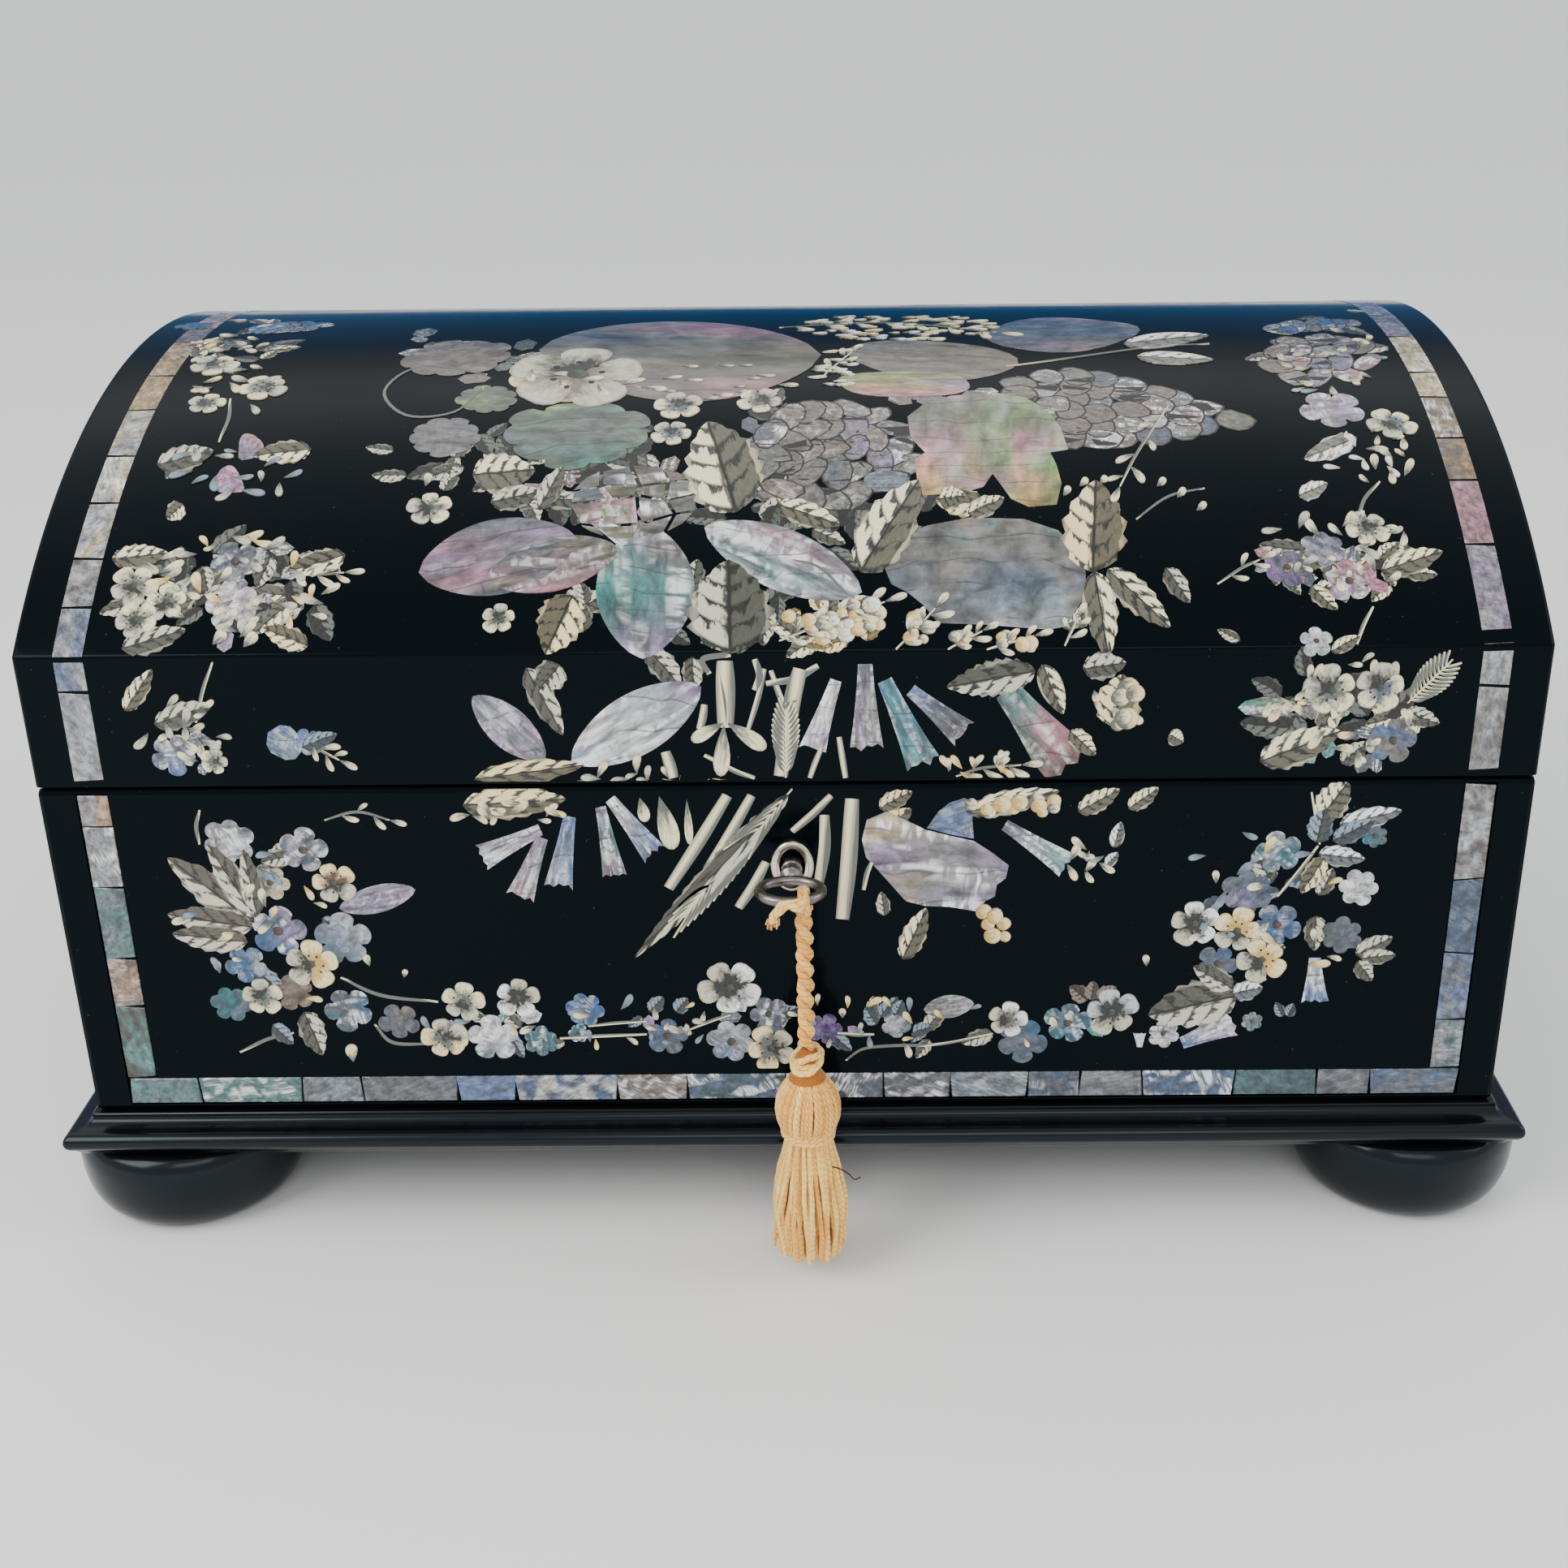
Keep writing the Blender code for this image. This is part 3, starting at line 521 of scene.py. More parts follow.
def loft(rings, closed=False):
    """Vertices and faces of a skin over rings of equally many points, capped unless it closes on itself."""
    count = len(rings[0])
    faces = []
    for i in range(len(rings) if closed else len(rings) - 1):
        j = (i + 1) % len(rings)
        for k in range(count):
            m = (k + 1) % count
            faces.append((i * count + k, i * count + m, j * count + m, j * count + k))
    if not closed:
        faces.append(tuple(range(count)))
        faces.append(tuple((len(rings) - 1) * count + k for k in range(count)))
    return [Vector(point) for ring in rings for point in ring], faces


def around(count):
    """The angles of evenly spaced points on a circle."""
    return [math.tau * i / count for i in range(count)]


def sweep(whole, steps):
    """Even steps from 0 to the whole, with both ends."""
    return [whole * i / steps for i in range(steps + 1)]


def block(low, high):
    """A box between two corners."""
    ring = [(low[0], low[1]), (high[0], low[1]), (high[0], high[1]), (low[0], high[1])]
    return loft([[(x, y, z) for x, y in ring] for z in (low[2], high[2])])


def turned(profile, centre, sides, wobble=0.0, chance=None):
    """A skin turned about an upright axis from (radius, z) points; wobble makes it slightly uneven."""
    waves = [(chance.uniform(0, math.tau), chance.uniform(0, math.tau)) for _ in range(3)] if wobble else []
    rings = []
    for radius, z in profile:
        ring = []
        for a in around(sides):
            extra = sum(math.sin((k + 2) * a + p + 180 * z + q) for k, (p, q) in enumerate(waves))
            reach = radius * (1 - wobble * (1 + extra / 3))
            ring.append((centre[0] + reach * math.cos(a), centre[1] + reach * math.sin(a), z))
        rings.append(ring)
    return loft(rings)


LOBE_DEPTH = 0.16


def tube(points, radius, sides, lobes=0, turns=0.0, closed=False):
    """A skin round a line of points. Lobes make it look plied, and turn about it the given number of times."""
    rings = []
    side = None
    last = len(points) - 1
    for i, point in enumerate(points):
        after = points[(i + 1) % len(points)] if closed or i < last else point
        before = points[i - 1] if closed or i else point
        ahead = (after - before).normalized()
        if side is None:
            side = ahead.orthogonal().normalized()
        side = (side - ahead * side.dot(ahead)).normalized()
        other = ahead.cross(side)
        ring = []
        for a in around(sides):
            lobe = LOBE_DEPTH * math.cos(lobes * a - math.tau * turns * i / last) if lobes else 0.0
            reach = radius * (1 + lobe)
            ring.append(point + side * reach * math.cos(a) + other * reach * math.sin(a))
        rings.append(ring)
    return loft(rings, closed)


def smooth_line(points, steps=6):
    """Points of a curve that passes through all the given ones."""
    ends = [points[0] * 2 - points[1], *points, points[-1] * 2 - points[-2]]
    line = []
    for a, b, c, d in zip(ends, ends[1:], ends[2:], ends[3:]):
        for i in range(steps):
            t = i / steps
            line.append((b * 2 + (c - a) * t + (a * 2 - b * 5 + c * 4 - d) * t**2
                         + (b * 3 - a - c * 3 + d) * t**3) / 2)
    return line + [points[-1]]


class Skin:
    """Closed meshes gathered into one piece, with the attributes that its shaders read."""

    def __init__(self):
        self.vertices, self.faces, self.slots = [], [], []
        self.tint, self.glow, self.local = [], [], []

    def add(self, vertices, faces, slot=0, tint=(1, 1, 1, 0), glow=(1, 1, 1, 0), local=(0, 0, 0)):
        """A slot is one value, or a list with one for each face; a tint, glow or local, one for each vertex."""
        start = len(self.vertices)
        self.vertices += vertices
        self.faces += [tuple(start + index for index in face) for face in faces]
        self.slots += slot if isinstance(slot, list) else [slot] * len(faces)
        for kept, value in ((self.tint, tint), (self.glow, glow), (self.local, local)):
            kept += value if isinstance(value, list) else [value] * len(vertices)

    def piece(self, name, materials, body, slot, replaces=(), sharp=38):
        mesh = bpy.data.meshes.new(name)
        mesh.from_pydata(self.vertices, [], self.faces)
        mesh.polygons.foreach_set("material_index", self.slots)
        for key, kind, values in (("tint", "FLOAT_COLOR", self.tint), ("glow", "FLOAT_COLOR", self.glow),
                                  ("local", "FLOAT_VECTOR", self.local)):
            made = mesh.attributes.new(key, kind, "POINT")
            made.data.foreach_set("color" if kind == "FLOAT_COLOR" else "vector", [n for v in values for n in v])
        work = bmesh.new()
        work.from_mesh(mesh)
        bmesh.ops.recalc_face_normals(work, faces=work.faces)
        work.to_mesh(mesh)
        work.free()
        mesh.shade_smooth()
        mesh.set_sharp_from_angle(angle=math.radians(sharp))
        for material in materials:
            mesh.materials.append(material)
        made = bpy.data.objects.new(name, mesh)
        bpy.context.scene.collection.objects.link(made)
        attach(made, body)
        if replaces:
            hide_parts(*replaces)
        return made


# The cord and its tassel

KEY_LOW, KEY_HIGH = corners("key")
CORD_LOW, CORD_HIGH = corners("tassel_cord")
LOOP_LOW, LOOP_HIGH = corners("cord_loop")
TASSEL_LOW, TASSEL_HIGH = corners("tassel")
HANG = (CORD_LOW + CORD_HIGH) / 2
CORD_RADIUS = (CORD_HIGH.x - CORD_LOW.x) / 2
STRAND_RADIUS = 0.00095
PLIES, PLY_PITCH = 3, 0.0026
CORD_TOP = (LOOP_LOW.z + LOOP_HIGH.z) / 2 - 0.0012
CORD_LENGTH = CORD_TOP - CORD_LOW.z
CORD_POINTS = 25
CORD_STEPS = 90
CORD_TURNS = 4.5
# The cut end's bends beside the cord: (across, up), in millimetres
CUT_END = ((0.0, 0.4), (-2.2, 0.9), (-4.2, 0.3), (-5.4, -1.2), (-5.9, -2.6))
CUT_END_TURNS = 1.3
FRAYED = 22
GOLDEN_TURN = 0.381966

# The tassel: its heights, and the radii of its neck, head, knot and skirt
TASSEL_FOOT, TASSEL_TOP = TASSEL_LOW.z, TASSEL_HIGH.z
TALL = TASSEL_TOP - TASSEL_FOOT
NECK_Z, HEAD_Z, KNOT_Z = (TASSEL_FOOT + share * TALL for share in (0.615, 0.775, 0.945))
NECK, HEAD, KNOT, SKIRT = 0.0046, 0.0060, 0.0036, 0.0078
YARN_RADIUS = 0.00052
HEAD_STRANDS = 46
SKIRT_STRANDS = 150
# The stray hair beside the skirt: (share of the skirt's radius, share of the tassel's height)
STRAY_HAIR = ((0.62, 0.47), (0.86, 0.455), (1.06, 0.43), (1.20, 0.405), (1.36, 0.415))

YARN_LIGHT = linear((1.0, 0.87, 0.52))
YARN_MIDDLE = linear((0.96, 0.71, 0.34))
YARN_DARK = linear((0.62, 0.38, 0.15))


def yarn_tone(chance, low):
    """A tone of the yarn by chance, from the share low of the way between dark and light."""
    share = low + (1 - low) * chance.random()
    a, b, share = (YARN_DARK, YARN_MIDDLE, share * 2) if share < 0.5 else (YARN_MIDDLE, YARN_LIGHT, share * 2 - 1)
    return (*(p + (q - p) * share for p, q in zip(a, b)), 0.0)


def add_strand(skin, points, radius, chance, sides, low, closed=False):
    """One plied strand of yarn along points. Its local place is along it, round it, and a number of its own."""
    run = sum((b - a).length for a, b in zip(points, points[1:]))
    turns = round(run / PLY_PITCH) if closed else run / PLY_PITCH
    vertices, faces = tube(points, radius, sides, PLIES, turns, closed)
    own = chance.random()
    local = [(i // sides / len(points) * turns * 2, i % sides / sides * PLIES, own) for i in range(len(vertices))]
    skin.add(vertices, faces, tint=yarn_tone(chance, low), local=local)


def hung(reach, a, z):
    """A point round the line that the cord and the tassel hang on."""
    return Vector((HANG.x + reach * math.cos(a), HANG.y + reach * math.sin(a), z))


def make_cord():
    """The doubled cord from the key's bow down to the tassel: two plied strands that twist about each other."""
    chance = random.Random("cord")
    path = [Vector((HANG.x, HANG.y, CORD_TOP - drop)) for drop in sweep(CORD_LENGTH, CORD_POINTS - 1)]
    skin = Skin()
    for phase in (0.0, math.pi):
        turns, drops = sweep(math.tau * CORD_TURNS, CORD_STEPS), sweep(CORD_LENGTH, CORD_STEPS)
        line = [hung(CORD_RADIUS - STRAND_RADIUS * 1.12, phase + turn, CORD_TOP - drop)
                for turn, drop in zip(turns, drops)]
        add_strand(skin, line, STRAND_RADIUS * 0.97, chance, sides=10, low=0.35)
    return skin.piece("tassel_cord_twist", [YARN], "box", "yarn", ["tassel_cord"], sharp=60), path


def make_loop():
    """The loop of the cord round the bow's bar, and the cord's short cut end beside the knot."""
    chance = random.Random("loop")
    skin = Skin()
    centre = (LOOP_LOW + LOOP_HIGH) / 2
    low, high = LOOP_LOW.z + STRAND_RADIUS, LOOP_HIGH.z - STRAND_RADIUS
    reach = (high - low) / 2
    for shift, lean in ((-0.55, 0.10), (0.55, -0.10)):
        line = [Vector((centre.x + shift * STRAND_RADIUS + lean * reach * math.cos(a),
                        centre.y + reach * math.sin(a), centre.z + reach * math.cos(a))) for a in around(40)]
        add_strand(skin, line, STRAND_RADIUS * 0.78, chance, sides=9, closed=True, low=0.35)
    front = centre.y - reach - STRAND_RADIUS
    tail = smooth_line([Vector((HANG.x + x * MM, front, centre.z + z * MM)) for x, z in CUT_END], 8)
    add_cut_end(skin, tail, chance)
    add_fray(skin, tail[-1], chance)
    skin.piece("cord_loop_twist", [YARN], "box", "yarn", ["cord_loop"], sharp=60)


def add_cut_end(skin, tail, chance):
    """Two strands that twist about a line."""
    for phase in (0.0, math.pi):
        line = []
        for i, point in enumerate(tail):
            a = phase + math.tau * CUT_END_TURNS * i / len(tail)
            line.append(point + Vector((0.4 * math.cos(a), math.sin(a), 0.6 * math.cos(a))) * STRAND_RADIUS * 0.8)
        add_strand(skin, line, STRAND_RADIUS * 0.85, chance, sides=9, low=0.35)


def add_fray(skin, tip, chance):
    """Fine loose strands at a cord's cut tip."""
    for k in range(FRAYED):
        a = math.tau * k * GOLDEN_TURN
        out = Vector((math.cos(a), math.sin(a), 0)) * STRAND_RADIUS * 1.25 * math.sqrt((k + 0.5) / FRAYED)
        end = tip + out + Vector((0, 0, 0.0004))
        drop = Vector((-0.0002, 0, -chance.uniform(0.0010, 0.0019)))
        line = [end.lerp(end + out * 0.15 + drop, share) for share in sweep(1, 4)]
        add_strand(skin, line, STRAND_RADIUS * 0.17, chance, sides=5, low=0.1)


def make_tassel():
    """A tassel: a knot, a head of yarn drawn over a core, its binding, and a skirt of loose strands."""
    chance = random.Random("tassel")
    skin = Skin()
    core = [(NECK * 0.75, TASSEL_FOOT + 0.08 * TALL), (NECK * 0.86, NECK_Z), (HEAD * 0.86, HEAD_Z),
            (HEAD * 0.62, HEAD_Z + 0.09 * TALL), (KNOT * 0.62, KNOT_Z - 0.03 * TALL),
            (KNOT * 0.8, KNOT_Z), (KNOT * 0.35, TASSEL_TOP - 0.0004)]
    skin.add(*turned(core, HANG, 24), tint=(*YARN_DARK, 0.0))
    add_head(skin, chance)
    for rise in (-0.0009, 0.0002, 0.0012):
        line = [hung(NECK * 1.1, a, NECK_Z + rise + 0.0003 * math.sin(a + rise * 900)) for a in around(40)]
        add_strand(skin, line, 0.00062, chance, sides=8, closed=True, low=0.2)
    for lean, size in ((0.5, 1.0), (-0.55, 0.95), (0.1, 0.9)):
        line = [hung(KNOT * size * 0.80, a, KNOT_Z + KNOT * lean * math.sin(a + lean)) for a in around(36)]
        add_strand(skin, line, STRAND_RADIUS * 0.72, chance, sides=9, closed=True, low=0.35)
    add_skirt(skin, chance)
    line = [Vector((HANG.x + SKIRT * out, HANG.y - 0.004, TASSEL_FOOT + share * TALL)) for out, share in STRAY_HAIR]
    skin.add(*tube(smooth_line(line, 4), 0.00016, 5), tint=(*(level * 0.12 for level in YARN_DARK), 0.0))
    return skin.piece("tassel_yarn", [YARN], "box", "yarn", ["tassel"], sharp=60)


def add_head(skin, chance):
    """The strands of the tassel's head, from its neck up to its knot."""
    for start in around(HEAD_STRANDS):
        a = start + chance.uniform(-0.04, 0.04)
        line = []
        for t in sweep(1, 14):
            z = NECK_Z + (KNOT_Z - 0.045 * TALL - NECK_Z) * t
            bulge = math.sin(math.pi * min(1.0, t * 1.08)) ** 0.7
            radius = NECK * (1 - t) + KNOT * 0.5 * t + (HEAD - (NECK + KNOT * 0.5) / 2) * bulge
            line.append(hung(radius, a + 0.16 * t, z))
        add_strand(skin, line, YARN_RADIUS, chance, sides=6, low=0.30)


def add_skirt(skin, chance):
    """The loose strands of the tassel's skirt, each with its own sway and curl."""
    for k in range(SKIRT_STRANDS):
        a = math.tau * k * GOLDEN_TURN + chance.uniform(-0.1, 0.1)
        depth = math.sqrt(chance.uniform(0.15, 1.0))
        start, reach = NECK * 0.82 * depth, SKIRT * depth
        length = (NECK_Z - TASSEL_FOOT) * (0.93 + 0.07 * chance.random())
        sway, curl, phase = chance.uniform(-0.5, 0.5), chance.uniform(0.0002, 0.0009), chance.uniform(0, math.tau)
        line = []
        for t in sweep(1, 15):
            spread = start + (reach - start) * min(1.0, t * 1.55) ** 0.8
            spread *= 1 - 0.10 * max(0.0, t - 0.7) / 0.3
            wave = curl * math.sin(phase + 9 * t) * t
            line.append(hung(spread + wave, a + sway * t * 0.5, NECK_Z - length * t))
        # Strands that hang further in may take darker tones: painted shade inside the skirt.
        add_strand(skin, line, YARN_RADIUS, chance, sides=6, low=0.15 + 0.35 * depth)


# The box

SIDE_STEPS, FILLET_STEPS, DOME_STEPS = 8, 6, 64
# A foot's sole and neck as shares of its radius, the height where it's widest as a share of its own, its roundness
FOOT_SOLE, FOOT_NECK, FOOT_WIDEST, FOOT_FULLNESS = 0.653, 0.796, 0.68, 2 / 2.5
FOOT_WOBBLE = 0.004


def shell_rings(half_width, inset, columns):
    """Open rings over the lid from its left end to its right, inset from its outside."""
    rings = []
    turns = sweep(math.pi / 2, FILLET_STEPS)
    for side, order in ((-1, reversed(turns)), (1, turns)):
        for turn in order:
            x = side * (half_width - EDGE_RADIUS * (1 - math.sin(turn)))
            depth = inset + EDGE_RADIUS * (1 - math.cos(turn))
            rings.append([Vector((x, *lid_point(run, -depth))) for run in columns])
    return rings


def make_lid():
    """The lid: one hollow dome with flat ends, smooth over its crease."""
    half = sweep(SIDE_RUN, SIDE_STEPS)[:-1] + [SIDE_RUN + part for part in sweep(FILLET_RUN, FILLET_STEPS)]
    half += [DOME_START + part for part in sweep(DOME_RUN / 2, DOME_STEPS)[1:]]
    columns = half + [LID_RUN - run for run in reversed(half[:-1])]
    outer = shell_rings(HALF_WIDTH, 0.0, columns)
    inner = shell_rings(HALF_WIDTH - WALL, WALL, columns)
    count, rows = len(columns), len(outer)
    inside = rows * count
    faces, slots = [], []
    for base, slot in ((0, 0), (inside, 1)):
        skin_faces = [tuple(base + k for k in range(count)), tuple(base + inside - count + k for k in range(count))]
        for i in range(rows - 1):
            at = base + i * count
            skin_faces += [(at + k, at + k + 1, at + k + 1 + count, at + k + count) for k in range(count - 1)]
        faces += skin_faces
        slots += [slot] * len(skin_faces)
    for edge in (0, count - 1):
        for i in range(rows - 1):
            a, b = i * count + edge, (i + 1) * count + edge
            faces.append((a, b, b + inside, a + inside))
    for at in (0, inside - count):
        faces.append((at, at + count - 1, at + count - 1 + inside, at + inside))
    slots += [0] * (len(faces) - len(slots))
    skin = Skin()
    skin.add([point for ring in outer + inner for point in ring], faces, slots)
    skin.piece("lid_shell", [LACQUER, LINING], "lid", "lacquer", ["lid"])


def moulding_profile(bottom, top, overhang):
    """(overhang, z) points, top to bottom: a small step, a cove, a round nose and a tuck under it."""
    nose_y = overhang - NOSE_RADIUS
    nose_z = bottom + 0.45 * (top - bottom)
    cove_start = top - MOULDING_STEP
    cove_drop = cove_start - nose_z - NOSE_RADIUS
    points = [(0.0, top), (MOULDING_STEP * 0.7, top), (MOULDING_STEP, top - MOULDING_STEP * 0.3)]
    for turn in sweep(math.pi / 2, 12):
        out = MOULDING_STEP + (nose_y - MOULDING_STEP) * (1 - math.cos(turn))
        points.append((out, cove_start - cove_drop * math.sin(turn)))
    for down in sweep(160, 24):
        turn = math.radians(90 - down)
        points.append((nose_y + NOSE_RADIUS * math.cos(turn), nose_z + NOSE_RADIUS * math.sin(turn)))
    points.append((nose_y - NOSE_RADIUS * 0.4, bottom))
    return points


def make_moulding():
    """The base's moulding, with small round corners."""
    low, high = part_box("base_moulding")
    rings = []
    for out, z in moulding_profile(low[2], high[2], FRONT - low[1]):
        x, y0, y1 = HALF_WIDTH + out, FRONT - out, BACK + out
        corner = 0.0004 + 0.1 * out
        ring = []
        for cx, cy, first in ((x, y1, 0), (-x, y1, 90), (-x, y0, 180), (x, y0, 270)):
            mx, my = cx - math.copysign(corner, cx), cy - math.copysign(corner, cy - MIDDLE)
            for part in sweep(90, 4):
                turn = math.radians(first + part)
                ring.append((mx + corner * math.cos(turn), my + corner * math.sin(turn), z))
        rings.append(ring)
    skin = Skin()
    skin.add(*loft(rings))
    skin.piece("base_moulding_polished", [EBONISED], "box", "ebonised_wood", ["base_moulding"])


def make_foot(name):
    """A bun foot: a squashed ball with a flat sole, turned in wood."""
    low, high = corners(name)
    radius, tall = (high.x - low.x) / 2, high.z - low.z
    sole, neck, widest = radius * FOOT_SOLE, radius * FOOT_NECK, FOOT_WIDEST * tall
    profile = []
    for turn in sweep(math.pi / 2, 24):
        out, rise = math.sin(turn)**FOOT_FULLNESS, 1 - math.cos(turn)**FOOT_FULLNESS
        profile.append((sole + (radius - sole) * out, low.z + widest * rise))
    for turn in sweep(math.pi / 2, 16)[1:]:
        out, rise = math.cos(turn)**FOOT_FULLNESS, (tall - widest) * math.sin(turn)**FOOT_FULLNESS
        profile.append((neck + (radius - neck) * out, low.z + widest + rise))
    skin = Skin()
    skin.add(*turned(profile, (low + high) / 2, 96, FOOT_WOBBLE, random.Random(name)))
    skin.piece(name + "_turned", [EBONISED], "box", "ebonised_wood", [name])


# The metal parts

ESCUTCHEON_RIM = 0.00195
ESCUTCHEON_FOOT = 0.0001
KEY_WIRE = 0.00105
KEY_BOW = 0.0057
KEY_SHANK = 0.00185
KEY_TIP = 0.0014
KEY_DROP = 0.0024
# The bit: half its thickness, and its start and end before the key's tip
KEY_BIT = (0.00065, 0.0040, 0.0006)
# The key's turned end behind its bow: (radius, distance behind the bow)
KEY_COLLARS = ((0.0009, -0.0012), (0.0016, -0.0009), (0.0019, -0.0004), (0.0024, 0.0), (0.0024, 0.0007),
               (0.0020, 0.0010), (KEY_SHANK, 0.0014), (KEY_SHANK, 0.0032), (0.0021, 0.0034), (0.0021, 0.0040),
               (KEY_SHANK, 0.0042))


def make_escutcheon():
    """A domed oval ring that lies on the box's front."""
    low, high = corners("escutcheon")
    centre = (low + high) / 2
    rim = ESCUTCHEON_RIM
    half_width, half_height = (high.x - low.x) / 2 - rim, (high.z - low.z) / 2 - rim
    height = FRONT - low.y - GAP
    section = [(0.0, ESCUTCHEON_FOOT), (0.0, height * 0.45)]
    for turn in sweep(math.pi, 14):
        section.append((rim / 2 * (1 - math.cos(turn)), GAP + height * (0.30 + 0.70 * math.sin(turn)**0.8)))
    section += [(rim * 1.02, GAP), (rim * 1.02, ESCUTCHEON_FOOT)]
    rings = [[(centre.x + (half_width + out) * math.cos(a), FRONT - rise,
               centre.z + (half_height + out) * math.sin(a)) for out, rise in section] for a in around(72)]
    skin = Skin()
    skin.add(*loft(rings, closed=True))
    skin.piece("escutcheon_ring", [NICKEL], "box", "nickel", ["escutcheon"])


def make_key():
    """The key: a turned shank with a collar, an oval wire bow and a bit."""
    x = (KEY_LOW.x + KEY_HIGH.x) / 2
    z = KEY_HIGH.z - KEY_DROP
    half_width, half_length = (KEY_HIGH.x - KEY_LOW.x) / 2 - KEY_WIRE, KEY_BOW - KEY_WIRE
    bow_y = KEY_LOW.y + half_length + KEY_WIRE
    neck = bow_y + half_length + KEY_WIRE
    profile = [(radius, neck + behind) for radius, behind in KEY_COLLARS]
    profile += [(KEY_SHANK, KEY_HIGH.y - 0.0005), (KEY_TIP, KEY_HIGH.y)]
    skin = Skin()
    skin.add(*loft([[(x + radius * math.cos(a), y, z + radius * math.sin(a)) for a in around(32)]
                    for radius, y in profile]))
    bow = [Vector((x + half_width * math.sin(a), bow_y + half_length * math.cos(a), z)) for a in around(64)]
    skin.add(*tube(bow, KEY_WIRE, 16, closed=True))
    half, start, end = KEY_BIT
    skin.add(*block(Vector((x - half, KEY_HIGH.y - start, KEY_LOW.z)), Vector((x + half, KEY_HIGH.y - end, z))))
    skin.piece("key_forged", [STEEL], "box", "steel", ["key"])


def dress_hidden_metal():
    """The lock's case and the hinges keep their solids, in old brass."""
    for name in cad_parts:
        if name.startswith("hinge_") or name == "lock_case":
            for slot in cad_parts[name].material_slots:
                slot.material = BRASS


# The pearl tiles of the borders

def add_tile(skin, place, wide, start, end, chance, names):
    """One tile of a border: place(cross, run, lift) gives its points, wide its two sides, start and end its ends."""
    lift, bevel = 0.00004 + chance.uniform(-0.00002, 0.00003), TILE_BEVEL
    lean = chance.uniform(-0.0003, 0.0003)
    steps = max(2, math.ceil((end - start) / TILE_STEP))
    runs = [start, *(start + bevel + (end - start - 2 * bevel) * i / steps for i in range(steps + 1)), end]
    section = ((0.0, -TILE_DEPTH), (0.0, lift - bevel), (bevel, lift), (-bevel, lift), (0.0, lift - bevel),
               (0.0, -TILE_DEPTH))
    rings, local = [], []
    turn, seed = chance.uniform(0, math.pi), chance.uniform(0, 40)
    for i, middle in enumerate(runs):
        ring = []
        for k, (inset, up) in enumerate(section):
            cross = wide[0 if k < 3 else 1] + inset
            run = middle + (lean if k < 3 else -lean) * (1 - 2 * i / (len(runs) - 1))
            if i in (0, len(runs) - 1):
                up = min(up, lift - bevel)
            ring.append(place(cross, run, up))
            a, b = run / TILE_GRAIN, cross / (wide[1] - wide[0])
            spun = Vector((a * math.cos(turn) - b * math.sin(turn), a * math.sin(turn) + b * math.cos(turn)))
            local.append((spun.x + seed, spun.y, seed))
        rings.append(ring)
    tints = []
    # The tint's alpha is the tile's amount of painted glint; the glow's alpha is the strength of its growth lines.
    for shine in (chance.choice((0.0, 0.1, 0.3, 0.8)), 0.3):
        shade = chance.uniform(0.60, 1.05)
        colour = COLOURS[chance.choice(names)]
        tints.append((*((level * COLOUR_SHARE + TILE_GREY * GREY_SHARE) * shade for level in colour), shine))
    skin.add(*loft(rings), tint=tints[0], glow=tints[1], local=local)


def add_band(skin, place, wide, start, end, chance, stretches, gone=None):
    """A border of tiles, each of its own length; stretches are (share, colour names) along it.

    Gone is the start and the end of a stretch where the tiles are lost."""
    at = start
    while at < end - TILE_SHORTEST / 2:
        stop = at + chance.uniform(TILE_SHORTEST, TILE_LONGEST)
        stop = end if stop > end - TILE_SHORTEST / 2 else stop
        lost = gone and at < gone[0] < stop
        stop = gone[0] if lost else stop
        share = ((at + stop) / 2 - start) / (end - start)
        names = next(names for top, names in stretches if share <= top).split()
        add_tile(skin, place, wide, at + TILE_JOINT / 2, stop - TILE_JOINT / 2, chance, names)
        at = gone[1] if lost else stop


def on_front(cross, run, lift):
    return Vector((cross, FRONT - lift, BODY_BOTTOM + run))


def along_front(cross, run, lift):
    return on_front(run, cross, lift)


def make_bands():
    """The borders, tile by tile: up the body's front, along its foot, and over the lid."""
    for side in ("left", "right"):
        for part, place, body in (("lid", sheet_place, "lid"), ("body", on_front, "box")):
            node = f"{part}_band_{side}"
            low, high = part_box(node)
            chance = random.Random(node)
            skin = Skin()
            start = EDGE_RADIUS if part == "lid" else low[2] - BODY_BOTTOM
            end = LID_RUN - EDGE_RADIUS if part == "lid" else high[2] - BODY_BOTTOM
            gone = WORN_AWAY if node == "lid_band_right" else None
            add_band(skin, place, (low[0], high[0]), start, end, chance, BAND_COLOURS[node], gone)
            skin.piece(f"{part}_border_{side}", [PEARL], body, "pearl", [node])
    low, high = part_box("body_band_bottom")
    skin = Skin()
    foot = (low[2] - BODY_BOTTOM, high[2] - BODY_BOTTOM)
    add_band(skin, along_front, foot, low[0], high[0], random.Random("bottom"), BAND_COLOURS["body_band_bottom"])
    skin.piece("body_border_bottom", [PEARL], "box", "pearl", ["body_band_bottom"])


# The inlay and the painting

def toward(a):
    return Vector((math.cos(a), math.sin(a)))


def crossed(a, b):
    return a.x * b.y - a.y * b.x


